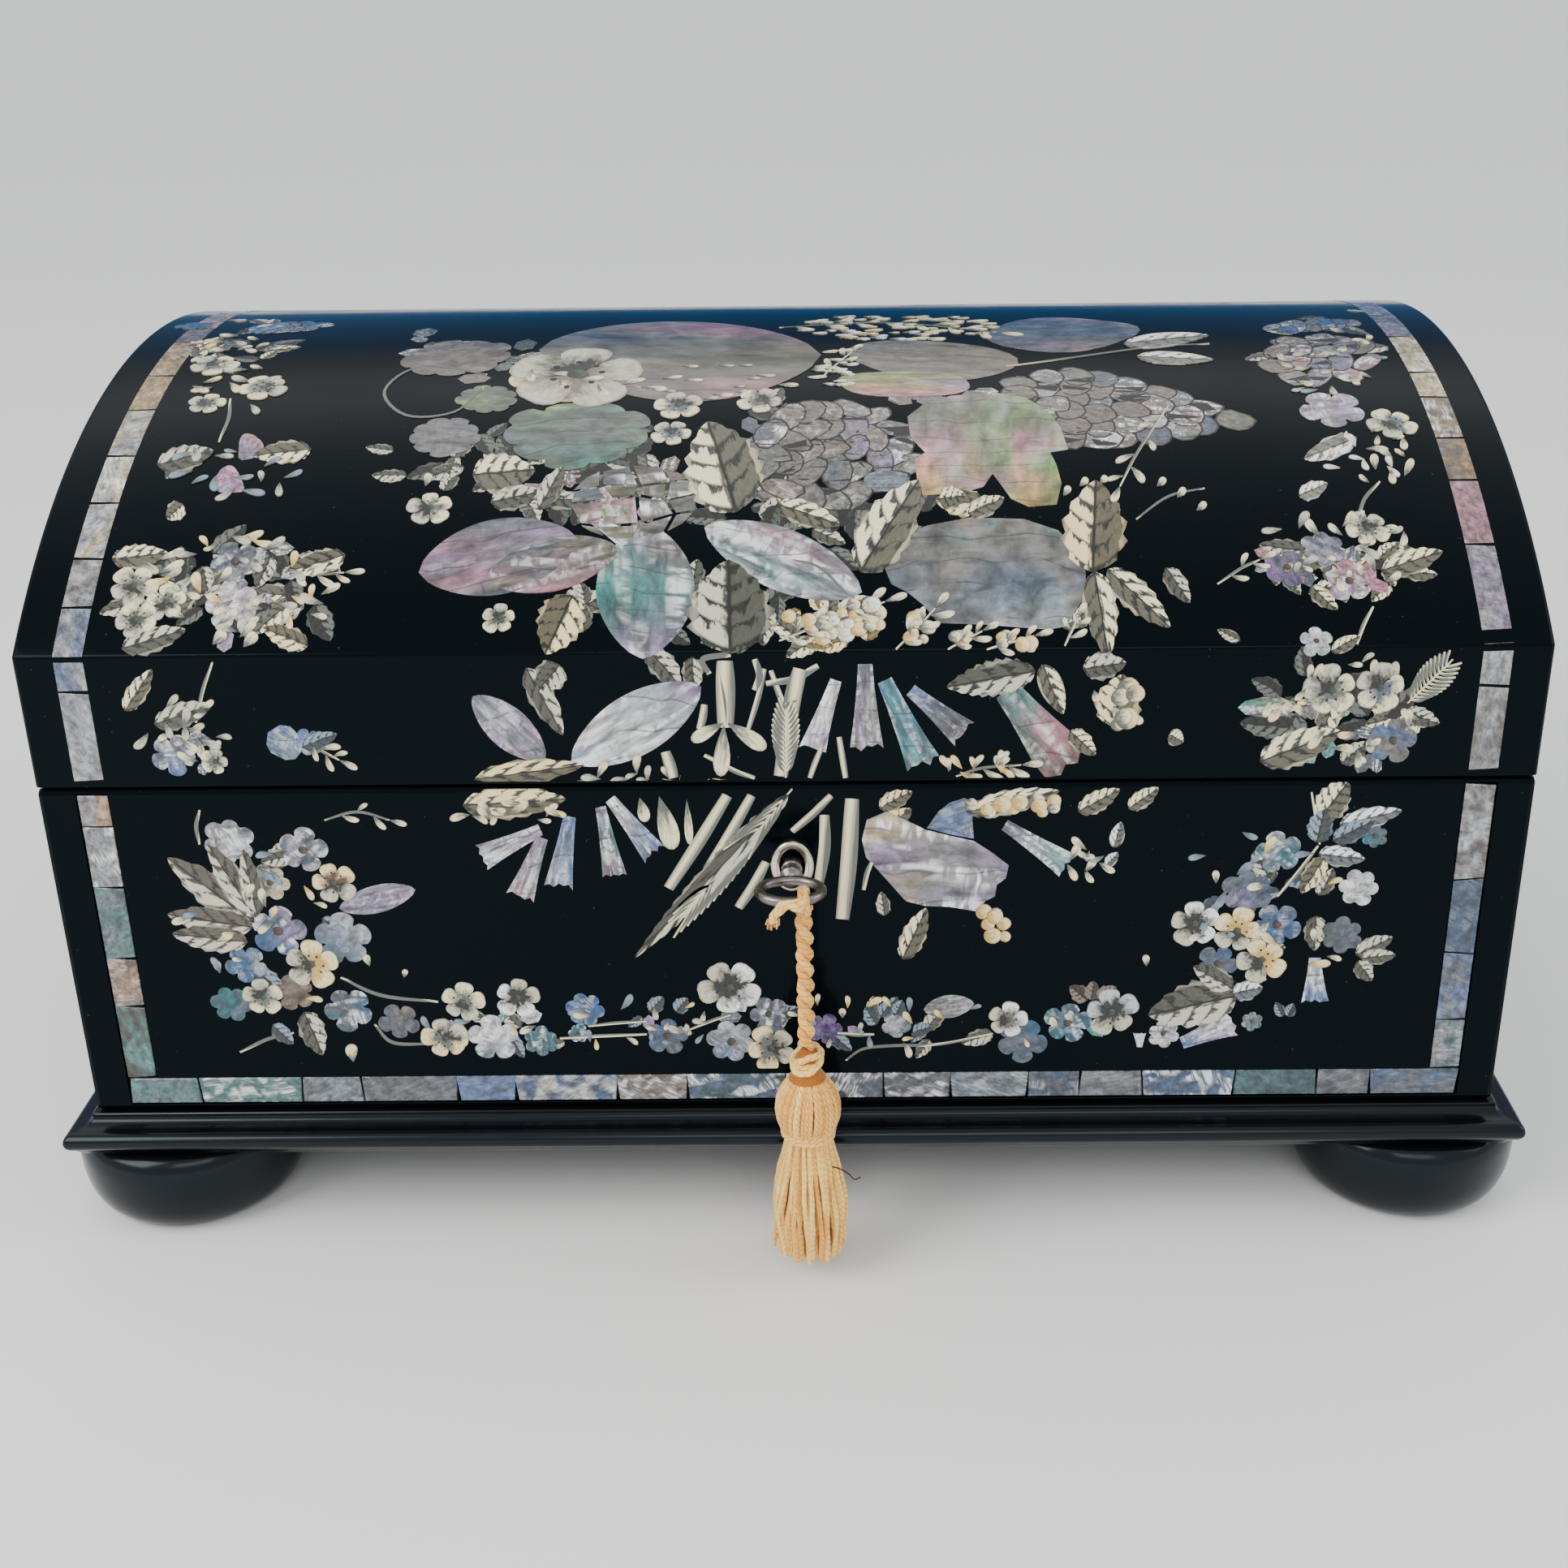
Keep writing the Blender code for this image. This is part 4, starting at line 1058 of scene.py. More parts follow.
class Patch:
    """A place on the flat sheet for one figure: from base to tip is one along, and its half width is one across."""

    def __init__(self, base, along, across, bend=0.0):
        self.base, self.along, self.across, self.bend = base, along, across, bend

    @classmethod
    def seen(cls, base, tip, width):
        """Between two pixels of the photograph, with a width in pixels."""
        (u0, v0), (u1, v1) = base, tip
        far = math.hypot(u1 - u0, v1 - v0)
        nu, nv = (v1 - v0) / far * width / 2, -(u1 - u0) / far * width / 2
        mu, mv = (u0 + u1) / 2, (v0 + v1) / 2
        across = (spot((mu + nu, mv + nv)) - spot((mu - nu, mv - nv))) / 2
        return cls(spot(base), spot(tip) - spot(base), across)

    @classmethod
    def laid(cls, base, turn, length, width, bend=0.0):
        """At a place on the sheet, turned from the x axis, in metres."""
        ahead = toward(turn)
        return cls(base, ahead * length, Vector((-ahead.y, ahead.x)) * width / 2, bend)

    @classmethod
    def centred(cls, centre, radius, turn=0.0):
        return cls.laid(centre - toward(turn) * radius, turn, 2 * radius, 2 * radius)

    def at(self, t, c):
        return self.base + self.along * t + self.across * (c + self.bend * 4 * t * (1 - t))

    def local(self, point):
        """The inverse of at: how far along and across a point of the sheet is."""
        out = point - self.base
        area = crossed(self.along, self.across)
        t = crossed(out, self.across) / area
        return t, crossed(self.along, out) / area - self.bend * 4 * t * (1 - t)


# The figures' outlines, as points (along, across)

def mirrored(side):
    """The other side of an outline, from its tip back to its base."""
    return [(t, -wide) for t, wide in reversed(side)]


def on_oval(a, reach=1.0):
    """The point of an oval at an angle from its base, moved in or out from its middle."""
    return 0.5 - 0.5 * math.cos(a) * reach, math.sin(a) * reach


def leaf_outline(teeth):
    """A pointed leaf from (0, 0) to (1, 0), with saw teeth along both sides."""
    steps = teeth * 3 if teeth else 14
    side = []
    for i in range(1, steps):
        wide = math.sin(math.pi * (i / steps)**0.78) ** 0.75
        side.append((i / steps, wide * (0.90, 1.0, 1.09)[i % 3] if teeth else wide))
    return [(0.0, 0.0), *side, (1.0, 0.0), *mirrored(side)]


def petal_outline(lobes=4, waist=0.22):
    """A petal that fans out from a narrow base to a scalloped end."""
    side = [(0.0, waist * 0.6)]
    for i in range(1, 7):
        side.append((0.72 * (i / 7), waist + (1 - waist) * (math.sin(math.pi / 2 * (i / 7)) ** 1.3)))
    steps = 6 * lobes
    end = []
    for i in range(steps + 1):
        turn = math.pi / 2 - math.pi * i / steps
        bump = 0.93 + 0.07 * abs(math.sin(math.pi * i / 6))
        end.append((0.70 + 0.30 * math.cos(turn) * bump, math.sin(turn) * (0.96 + 0.04 * bump)))
    return side + end + mirrored(side)


def oval_outline(chance, rough=0.05, steps=26):
    waves = [(chance.uniform(-rough, rough), chance.uniform(0, math.tau)) for _ in range(3)]
    return [on_oval(a, 1 + sum(size * math.sin((k + 2) * a + phase) for k, (size, phase) in enumerate(waves)))
            for a in around(steps)]


def drop_outline(steps=18):
    """A drop: pointed at its base and round at its tip."""
    return [(0.5 - 0.5 * math.cos(a), math.sin(a) * (0.5 - 0.5 * math.cos(a)) ** 0.6) for a in around(steps)]


def heart_outline(steps=20, notch=0.04):
    """A rounded petal, narrow at its base and notched at its tip."""
    points = []
    for a in around(steps):
        dent = notch * math.exp(-(((a - math.pi) / 0.30) ** 2))
        points.append((0.5 - (0.5 - dent) * math.cos(a), math.sin(a) * (0.72 - 0.30 * math.cos(a)) * 0.98))
    return points


def flower_outline(chance, lobes, depth=0.38, steps=50):
    """An open flower cut from one piece, with uneven round lobes."""
    sizes = [chance.uniform(0.86, 1.0) for _ in range(lobes)]
    points = []
    for i, a in enumerate(around(steps)):
        turn = lobes * i / steps
        reach = sizes[int(turn + 0.5) % lobes] * (1 - depth + depth * abs(math.cos(math.pi * turn)) ** 0.45)
        points.append(on_oval(a, reach))
    return points


def lens_outline(full=0.62, steps=24):
    """A broad blade, pointed at its base and its tip."""
    side = [(i / steps, math.sin(math.pi * i / steps) ** full) for i in range(1, steps)]
    return [(0.0, 0.0), *side, (1.0, 0.0), *mirrored(side)]


def torn_outline(chance, waist=0.42, teeth=3):
    """A strip of petal that widens to a ragged end."""
    side = [(t, waist + (1 - waist) * t**1.3) for t in (0.0, 0.25, 0.5, 0.7)]
    end = []
    for i in range(2 * teeth + 1):
        end.append((chance.uniform(0.90, 0.96) if i % 2 else chance.uniform(0.94, 1.0), 1 - i / teeth))
    return side + end + mirrored(side)


def slab_outline(chance, count=9):
    """A sawn slab with blunt corners."""
    return [on_oval(math.tau * (i + chance.uniform(-0.15, 0.15)) / count, chance.uniform(0.94, 1.0))
            for i in range(count)]


def ribbon_outline(line, width, taper):
    """The outline of a brush stroke along points of the sheet, thin at both ends."""
    last = len(line) - 1
    left, right = [], []
    for i, point in enumerate(line):
        ahead = (line[min(i + 1, last)] - line[max(i - 1, 0)]).normalized()
        half = width / 2 * (taper + (1 - taper) * math.sin(math.pi * (0.08 + 0.84 * i / last)))
        normal = Vector((-ahead.y, ahead.x)) * half
        left.append(point + normal)
        right.append(point - normal)
    return left + right[::-1]


def tone(series, share, shine):
    """The colour at a share of the way along named colours such as teal>lilac."""
    names = series.split(">")
    place = min(max(share, 0.0), 0.9999) * (len(names) - 1)
    first = int(place)
    a, b = COLOURS[names[first]], COLOURS[names[min(first + 1, len(names) - 1)]]
    return (*(p + (q - p) * (place - first) for p, q in zip(a, b)), shine)


LEAF_SLOT, PETAL_SLOT, STEM_SLOT, INK_SLOT = range(4)
# How far the top of each layer stands above the lacquer, and the steps between slivers of one layer
LAYERS = {"ground": 0.00003, "under": 0.00007, "pearl": 0.00012, "stem": 0.00017, "leaf": 0.00021,
          "flower": 0.00025, "ink": 0.00030}
LAID_STEP, LAID_STEPS = 0.0000006, 61
ORDER_STEP = 0.000004
SUNK = 0.00025
SHEET_STEP = 0.004
SAME_POINT = 1e-7
# How far the flowers stay from the seam, from the lid's back edge and from the body's foot
SEAM_MARGIN, BACK_MARGIN, FOOT_MARGIN = 0.0006, 0.001, 0.0095
SPRIG_WIDTH, BARB_WIDTH = 0.0006, 0.00075


class Ground:
    """A stretch of the sheet, from s low to s high, with the pearl and the paint on it. It folds at the folds."""

    def __init__(self, name, low, high, folds=()):
        self.name, self.low, self.high, self.folds = name, low, high, folds
        self.pearl, self.paint = Skin(), Skin()
        self.chance = random.Random(name)
        self.laid = 0

    def cut_flat(self, outline):
        """The points and the faces of a flat figure, kept inside the surface and cut where it folds."""
        reach = HALF_WIDTH - 2 * EDGE_RADIUS
        points = [Vector((min(max(p[0], -reach), reach), min(max(p[1], self.low), self.high))) for p in outline]
        if sum(a.cross(b) for a, b in zip(points, points[1:] + points[:1])) < 0:
            points.reverse()
        count, edges = len(points), []
        low, high = min(p.y for p in points), max(p.y for p in points)
        left, right = min(p.x for p in points) - MM, max(p.x for p in points) + MM
        for fold in self.folds:
            if low < fold < high:
                edges.append((len(points), len(points) + 1))
                points += [Vector((left, fold)), Vector((right, fold))]
        found = delaunay_2d_cdt(points, edges, [tuple(range(count))], 0, SAME_POINT, True)
        inside = [tuple(face) for face, owners in zip(found[2], found[5]) if owners]
        used = sorted({index for face in inside for index in face})
        number = {index: i for i, index in enumerate(used)}
        return [found[0][index] for index in used], [tuple(number[index] for index in face) for face in inside]

    def sliver(self, outline, patch, layer, slot, tints, shine=0.0, age=0.0, order=None):
        """A thin closed plate on the surface. A slot of None is pearl; tints are "tint|glow" series along it.

        A glow that starts with ^ changes across it. The order is its place in a stack of slivers in one layer."""
        flat, faces = self.cut_flat(outline)
        if not faces:
            return
        self.laid += 1
        lift = LAYERS[layer] + (LAID_STEP * (self.laid % LAID_STEPS) if order is None else ORDER_STEP * order)
        vertices = [sheet_place(p.x, p.y, height) for height in (lift, -SUNK) for p in flat]
        n = len(flat)
        sides = {(a, b) for face in faces for a, b in zip(face, face[1:] + face[:1])}
        walls = [(a, b, b + n, a + n) for a, b in sides if (b, a) not in sides]
        bottom = [tuple(index + n for index in reversed(face)) for face in faces]
        tint_series, glow_series = (tints + "|" + tints).split("|")[:2]
        seed, shade = self.chance.uniform(0, 60), self.chance.uniform(0.88, 1.10)
        tint, glow, local = [], [], []
        for p in flat * 2:
            t, c = patch.local(p)
            # The tint's alpha carries the shine, the amount of painted glint; the glow's alpha carries the growth
            # lines.
            tint.append(tone(tint_series, t, shine))
            glow.append(tone(glow_series.strip("^"), (c + 1) / 2 if "^" in glow_series else t, age))
            local.append((t + seed * 2, c, seed) if slot is None else (t, c, seed))
        if slot is None:
            tint = [(*(level * shade for level in colour[:3]), colour[3]) for colour in tint]
        skin = self.pearl if slot is None else self.paint
        skin.add(vertices, faces + bottom + walls, slot or 0, tint, glow, local)

    def shape(self, patch, outline, *looks):
        """A sliver whose outline is laid in a patch."""
        self.sliver([patch.at(t, c) for t, c in outline], patch, *looks)

    # Pearl

    def cut(self, outline, base, tip, width, tints, shine):
        """A piece of pearl with its own outline, in pixels of the photograph."""
        self.sliver([spot(pixel) for pixel in outline], Patch.seen(base, tip, width), "pearl", None, tints, shine, 1.0)

    def pearl_piece(self, kind, patch, tints, shine):
        """One cut piece of pearl of a named kind."""
        outline = {"fan": petal_outline, "lens": lens_outline,
                   "oval": lambda: oval_outline(self.chance), "torn": lambda: torn_outline(self.chance),
                   "rose": lambda: flower_outline(self.chance, 9, 0.14, 72),
                   "slab": lambda: slab_outline(self.chance)}[kind]()
        self.shape(patch, outline, "pearl", None, tints, shine, 1.0)

    def shards(self, patch, tints, rows, columns, taper):
        """Broken pearl laid close together, inside an oval that may taper towards its tip."""
        chance = self.chance
        grid = {}
        for i in range(rows + 1):
            for k in range(columns + 1):
                t, c = 2 * i / rows - 1, 2 * k / columns - 1
                t += chance.uniform(-0.6, 0.6) / rows if 0 < i < rows else 0.0
                c += chance.uniform(-0.6, 0.6) / columns if 0 < k < columns else 0.0
                far = max(1.0, math.hypot(t, c))
                grid[i, k] = (t / far, c / far)
        for i in range(rows):
            for k in range(columns):
                bounds = [grid[i, k], grid[i + 1, k], grid[i + 1, k + 1], grid[i, k + 1]]
                cut = chance.uniform(0.2, 0.8)
                (at, ac), (bt, bc) = bounds[2:]
                bounds.insert(3, (at + (bt - at) * cut, ac + (bc - ac) * cut + 0.25 / columns * (cut - 0.5)))
                mt, mc = (sum(p[n] for p in bounds) / 5 for n in (0, 1))
                if math.hypot(mt, mc) > 0.93:
                    continue
                keep = chance.uniform(0.80, 0.92)
                inner = [((mt + (t - mt) * keep + 1) / 2, mc + (c - mc) * keep) for t, c in bounds]
                inner = [(t, c * (1 - taper * t)) for t, c in inner]
                # The shard's colours, and how much painted glint it gets.
                colours, painted_shine = chance.choice(tints.split()), chance.choice((0.0, 0.3, 1.0))
                self.shape(patch, inner, "pearl", None, colours, painted_shine, 0.7)

    def scales(self, patch, tints, rows, columns, plump, taper, swing):
        """Rounded bits of pearl that overlap like scales towards the base, each with a dark rim."""
        chance = self.chance
        for i in range(rows):
            t = (i + 0.5) / rows
            full = math.sqrt(1 - (2 * t - 1) ** 2) * (1 - taper * t)
            count = max(1, round(columns * full))
            for k in range(count):
                c = full * ((2 * k + 1) / count - 1) if count > 1 else 0.0
                at = patch.at(t + chance.uniform(-0.25, 0.25) / rows, c + chance.uniform(-0.2, 0.2) / columns)
                turn = chance.uniform(-swing, swing)
                ahead = patch.along / rows * chance.uniform(1.1, 1.6)
                aside = patch.across / columns * plump * chance.uniform(0.85, 1.2)
                ahead, aside = (ahead * math.cos(turn) + aside * math.sin(turn),
                                aside * math.cos(turn) - ahead * math.sin(turn) * aside.length / ahead.length)
                # The scale's colours, and how much painted glint it gets.
                colours, painted_shine = chance.choice(tints.split()), chance.choice((0.0, 0.0, 0.4, 1.0))
                order = rows - 1 - i + 0.3 * (k % 3)
                outline = oval_outline(chance, 0.07, 12)
                for size, slot, step in ((1.12, INK_SLOT, 0.0), (1.0, None, 0.15)):
                    small = Patch(at - ahead * size / 2, ahead * size, aside * size)
                    self.shape(small, outline, "under", slot, colours, painted_shine, 0.5, order + step)

    def violet(self, centre, radius, tints):
        """A flower cut from one piece of pearl, some with a dark eye."""
        patch = Patch.centred(centre, radius, self.chance.uniform(0, math.tau))
        outline = flower_outline(self.chance, self.chance.choice((5, 5, 6)))
        # The flower gets a chosen amount of painted glint.
        self.shape(patch, outline, "pearl", None, tints, self.chance.choice((0.0, 0.3, 0.8)), 0.3)
        if self.chance.random() < 0.4:
            self.eye(centre, radius * 0.16, "brown|soot")

    # Paint

    def stroke(self, points, width, taper=0.35, layer="stem"):
        """A painted line through points of the sheet."""
        line = smooth_line(points) if len(points) > 2 else points
        ahead = line[-1] - line[0]
        patch = Patch(line[0], ahead, Vector((-ahead.y, ahead.x)).normalized() * width / 2)
        self.sliver(ribbon_outline(line, width, taper), patch, layer, STEM_SLOT, "ivory|ash")

    def eye(self, centre, radius, tints):
        self.shape(Patch.centred(centre, radius), oval_outline(self.chance, 0.1, 10), "ink", PETAL_SLOT, tints)

    def leaf(self, patch, tints, teeth, layer="leaf"):
        self.shape(patch, leaf_outline(teeth), layer, LEAF_SLOT, tints)

    def bud(self, patch, tints="ivory|ash"):
        self.shape(patch, drop_outline(), "flower", PETAL_SLOT, tints)

    def berry(self, centre, radius, tints):
        self.shape(Patch.centred(centre, radius), oval_outline(self.chance, 0.04, 14), "flower", PETAL_SLOT, tints)

    def blossom(self, centre, radius, tints, petals=5, stamens=7):
        """An open hawthorn flower: notched petals, a dark eye and dark stamens."""
        turn = self.chance.uniform(0, math.tau)
        for k in range(petals):
            a = turn + math.tau * k / petals
            size = radius * self.chance.uniform(0.80, 1.0)
            patch = Patch.laid(centre + toward(a) * radius * 0.10, a, size, size * 1.16)
            self.shape(patch, heart_outline(), "flower", PETAL_SLOT, tints if k < 3 else "bone|soot")
        self.eye(centre, radius * 0.15, "sage|soot")
        for start in around(stamens):
            a = start + self.chance.uniform(-0.2, 0.2)
            out = radius * self.chance.uniform(0.28, 0.42)
            patch = Patch.laid(centre + toward(a) * out, a, radius * 0.11, radius * 0.09)
            self.shape(patch, oval_outline(self.chance, 0.05, 6), "ink", INK_SLOT, "soot")

    def sprig(self, points, leaves, size):
        """A thin stem with small leaves along both sides, and one at its end."""
        line = smooth_line(points, 8)
        self.stroke(points, SPRIG_WIDTH)
        for k in range(leaves):
            share = (k + 1) / (leaves + 1)
            i = min(int(share * (len(line) - 1)), len(line) - 2)
            at = line[i].lerp(line[i + 1], share * (len(line) - 1) - i)
            ahead = line[i + 1] - line[i]
            side = 1 if k % 2 else -1
            turn = math.atan2(ahead.y, ahead.x) + side * (0.7 + self.chance.uniform(-0.15, 0.2))
            length = size * self.chance.uniform(0.8, 1.15)
            self.bud(Patch.laid(at, turn, length, length * 0.42, 0.3 * side))
        ahead = line[-1] - line[-2]
        self.bud(Patch.laid(line[-1], math.atan2(ahead.y, ahead.x), size, size * 0.45))

    def scatter(self, kind, centre, wide, high, count, size, tints):
        """Many small figures in an oval round a pixel of the photograph, wide and high in pixels."""
        chance = self.chance
        for _ in range(count):
            a, out = chance.uniform(0, math.tau), math.sqrt(chance.random())
            base = spot((centre[0] + wide * out * math.cos(a), centre[1] + high * out * math.sin(a)))
            length = size * chance.uniform(0.7, 1.3)
            colours = chance.choice(tints.split())
            turn = chance.uniform(0, math.tau)
            if kind == "dash":
                self.bud(Patch.laid(base, chance.uniform(-0.2, 0.2), length, length * 0.42), colours)
            elif kind == "bud":
                self.bud(Patch.laid(base, turn, length, length * 0.5, chance.uniform(-0.3, 0.3)), colours)
            elif kind == "leaf":
                small = Patch.laid(base, turn, length, length * 0.55, chance.uniform(-0.2, 0.2))
                self.leaf(small, colours, 4, "ground")
            elif kind == "berry":
                self.berry(base, length / 2, colours)
            else:
                # A bit of pearl, with a chosen amount of painted glint.
                small, painted_shine = Patch.laid(base, turn, length, length * 0.7), (0.0, 0.3, 0.9)
                self.shape(small, slab_outline(chance, 6), "ground", None, colours, chance.choice(painted_shine), 0.3)

    def plume(self, patch, barbs):
        """A feathery leaf: a midrib with curved strokes on both sides."""
        self.stroke([patch.at(t, 0) for t in (0, 0.5, 1)], SPRIG_WIDTH)
        for k in range(barbs):
            t = 0.08 + 0.84 * k / barbs
            wide = math.sin(math.pi * (0.15 + 0.8 * t))
            for side in (-1, 1):
                line = [patch.at(t, 0), patch.at(t + 0.08, side * wide * 0.6), patch.at(t + 0.22, side * wide)]
                self.stroke(line, BARB_WIDTH, 0.25, "leaf")

    def finish(self, body):
        self.pearl.piece(self.name + "_pearl", [PEARL], body, "pearl")
        self.paint.piece(self.name + "_painting", [LEAF, PETAL, STEM, INK], body, "lacquer")


# The figures, by the pixels of the photograph that they cover. Colours are "tint|glow", and lengths in metres:
# PEARLS kind, base, tip, width, colours, shine (the amount of painted glint); CUTS outline, then as for PEARLS
# VIOLETS, BLOSSOMS middle, radius, colours; LEAVES base, tip, width, colours, teeth
# SCATTERS kind, middle, half width, half height, count, length, colours to choose from
# BUDS, FUCHSIAS base, tip, width; PLUMES, EARS base, tip, width, barbs
# STEMS line, width as a length; SPRIGS line, leaves, length of a leaf

LID_PEARLS = [
    # the bouquet's left
    ("lens", (664, 432), (1012, 438), 88, "slate>grey>taupe>grey>olive|grey>taupe>grey>rose>olive", 0.0),
    ("rose", (622, 470), (800, 458), 62, "taupe>slate|cream>grey", 0.0),
    ("rose", (492, 448), (636, 432), 46, "taupe>grey|grey>taupe", 0.0),
    ("rose", (560, 494), (642, 490), 36, "green>grey|sage", 0.0),
    ("rose", (608, 538), (810, 528), 88, "slate>sage>teal>olive|slate>green>olive>slate", 0.0),
    ("rose", (498, 542), (598, 534), 50, "slate>grey|taupe>slate", 0.1),
    ("lens", (516, 706), (712, 664), 92, "rose>slate>slate>grey|^slate>taupe>lilac>slate", 0.1),
    ("lens", (600, 714), (762, 676), 66, "taupe>grey>olive|^rose>grey>slate", 0.5),
    ("lens", (792, 812), (800, 648), 122, "lilac>slate>teal>grey>taupe|^slate>lilac>grey>teal", 0.75),
    ("lens", (1062, 730), (868, 650), 76, "silver>slate>teal>grey|^rose>slate>teal>silver", 0.8),
    # the middle and the right
    ("oval", (1250, 448), (1046, 436), 48, "taupe>grey|olive>grey", 0.0),
    ("oval", (1030, 472), (1198, 474), 32, "green>gold>rose>lilac|^rose>gold>green", 0.0),
    ("oval", (1214, 412), (1400, 408), 40, "slate>slate>rose>slate|slate>grey", 0.0),
    ("oval", (1064, 592), (1122, 594), 26, "mist|slate", 0.2),
    ("torn", (745, 600), (760, 644), 36, "green|rose>white", 0.6),
    ("torn", (730, 640), (776, 668), 26, "white|lilac", 1.0),
    # the front band
    ("lens", (582, 858), (672, 936), 50, "slate>lilac>taupe|silver>slate", 0.4),
    ("lens", (704, 938), (864, 846), 76, "white>silver>teal|blue>white>violet", 1.0),
    ("torn", (1030, 838), (1000, 926), 34, "white|silver>lilac", 1.0),
    ("torn", (1066, 818), (1068, 926), 42, "slate>lilac|silver>grey", 0.5),
    ("torn", (1090, 838), (1140, 946), 44, "teal>slate|blue>teal", 0.5),
    ("torn", (1122, 850), (1190, 906), 38, "blue>slate>brown|slate", 0.3),
    ("torn", (1240, 850), (1318, 948), 76, "teal>grey>brown|slate>rose>brown", 0.5),
    # the garlands
    ("fan", (296, 566), (318, 540), 34, "lilac|slate>rose", 0.3),
    ("fan", (300, 604), (268, 584), 36, "rose|lilac", 0.3),
    ("slab", (1524, 872), (1600, 870), 26, "teal>green|grey", 0.6),
    ("slab", (1606, 790), (1640, 788), 24, "teal>white|silver", 0.8),
    ("slab", (330, 900), (372, 930), 42, "blue>slate|mist", 0.4),
]
LID_CUTS = [
    # the notched pad and the big piece under it, each with its outline
    ([(1118, 514), (1136, 500), (1172, 488), (1228, 485), (1262, 490), (1288, 504), (1306, 526), (1316, 554),
      (1294, 558), (1302, 574), (1308, 596), (1302, 622), (1268, 625), (1246, 615), (1223, 584), (1212, 600),
      (1188, 607), (1138, 611), (1130, 592), (1127, 566), (1140, 558), (1122, 540)],
     (1214, 486), (1216, 626), 196, "grey>olive>rose>peach>gold|^grey>taupe>rose>green>green", 0.2),
    ([(1086, 690), (1104, 668), (1142, 648), (1196, 638), (1262, 640), (1304, 654), (1330, 682), (1338, 706),
      (1336, 736), (1314, 772), (1292, 776), (1214, 770), (1156, 768), (1138, 746), (1118, 730), (1098, 720)],
     (1212, 638), (1214, 776), 256, "taupe>grey>slate>mist>silver|^grey>slate>grey>teal>taupe", 0.1),
]
LID_SHARDS = [
    # (base, tip, width, colours, rows, columns, taper)
    ((700, 622), (862, 612), 92, "taupe grey slate>grey olive grey taupe>rose", 4, 4, 0.0),
]
LID_SCALES = [
    # (base, tip, width, colours, rows, columns, plumpness, taper, swing)
    ((930, 556), (1122, 552), 132, "grey slate>grey taupe grey>lilac olive>grey grey", 7, 5, 1.25, 0.0, 1.2),
    ((1242, 492), (1536, 518), 128, "taupe grey taupe>silver grey>olive grey taupe slate", 9, 8, 1.25, 0.75, 0.25),
    ((1560, 404), (1670, 398), 14, "slate>blue grey slate", 7, 2, 1.2, 0.0, 0.5),
    ((1560, 442), (1690, 436), 60, "grey slate>lilac taupe grey>rose", 5, 4, 1.2, 0.0, 0.9),
    ((306, 406), (404, 400), 12, "slate>blue grey slate", 6, 2, 1.2, 0.0, 0.5),
]
LID_VIOLETS = [
    ((290, 692), 34, "grey>silver|slate"), ((285, 745), 36, "white>rose|silver"), ((214, 930), 30, "blue>silver|slate"),
    ((1716, 912), 32, "blue>slate|grey"), ((1630, 676), 30, "lilac>silver|slate"),
    ((1586, 700), 32, "violet>lilac|slate"), ((1662, 716), 32, "rose>lilac|silver"),
    ((1642, 505), 44, "grey>silver|lilac"), ((330, 405), 26, "grey>slate|blue"), ((240, 402), 24, "grey>blue|slate"),
    ((1622, 790), 22, "teal>white|silver"), ((380, 914), 20, "blue>silver|slate"),
]
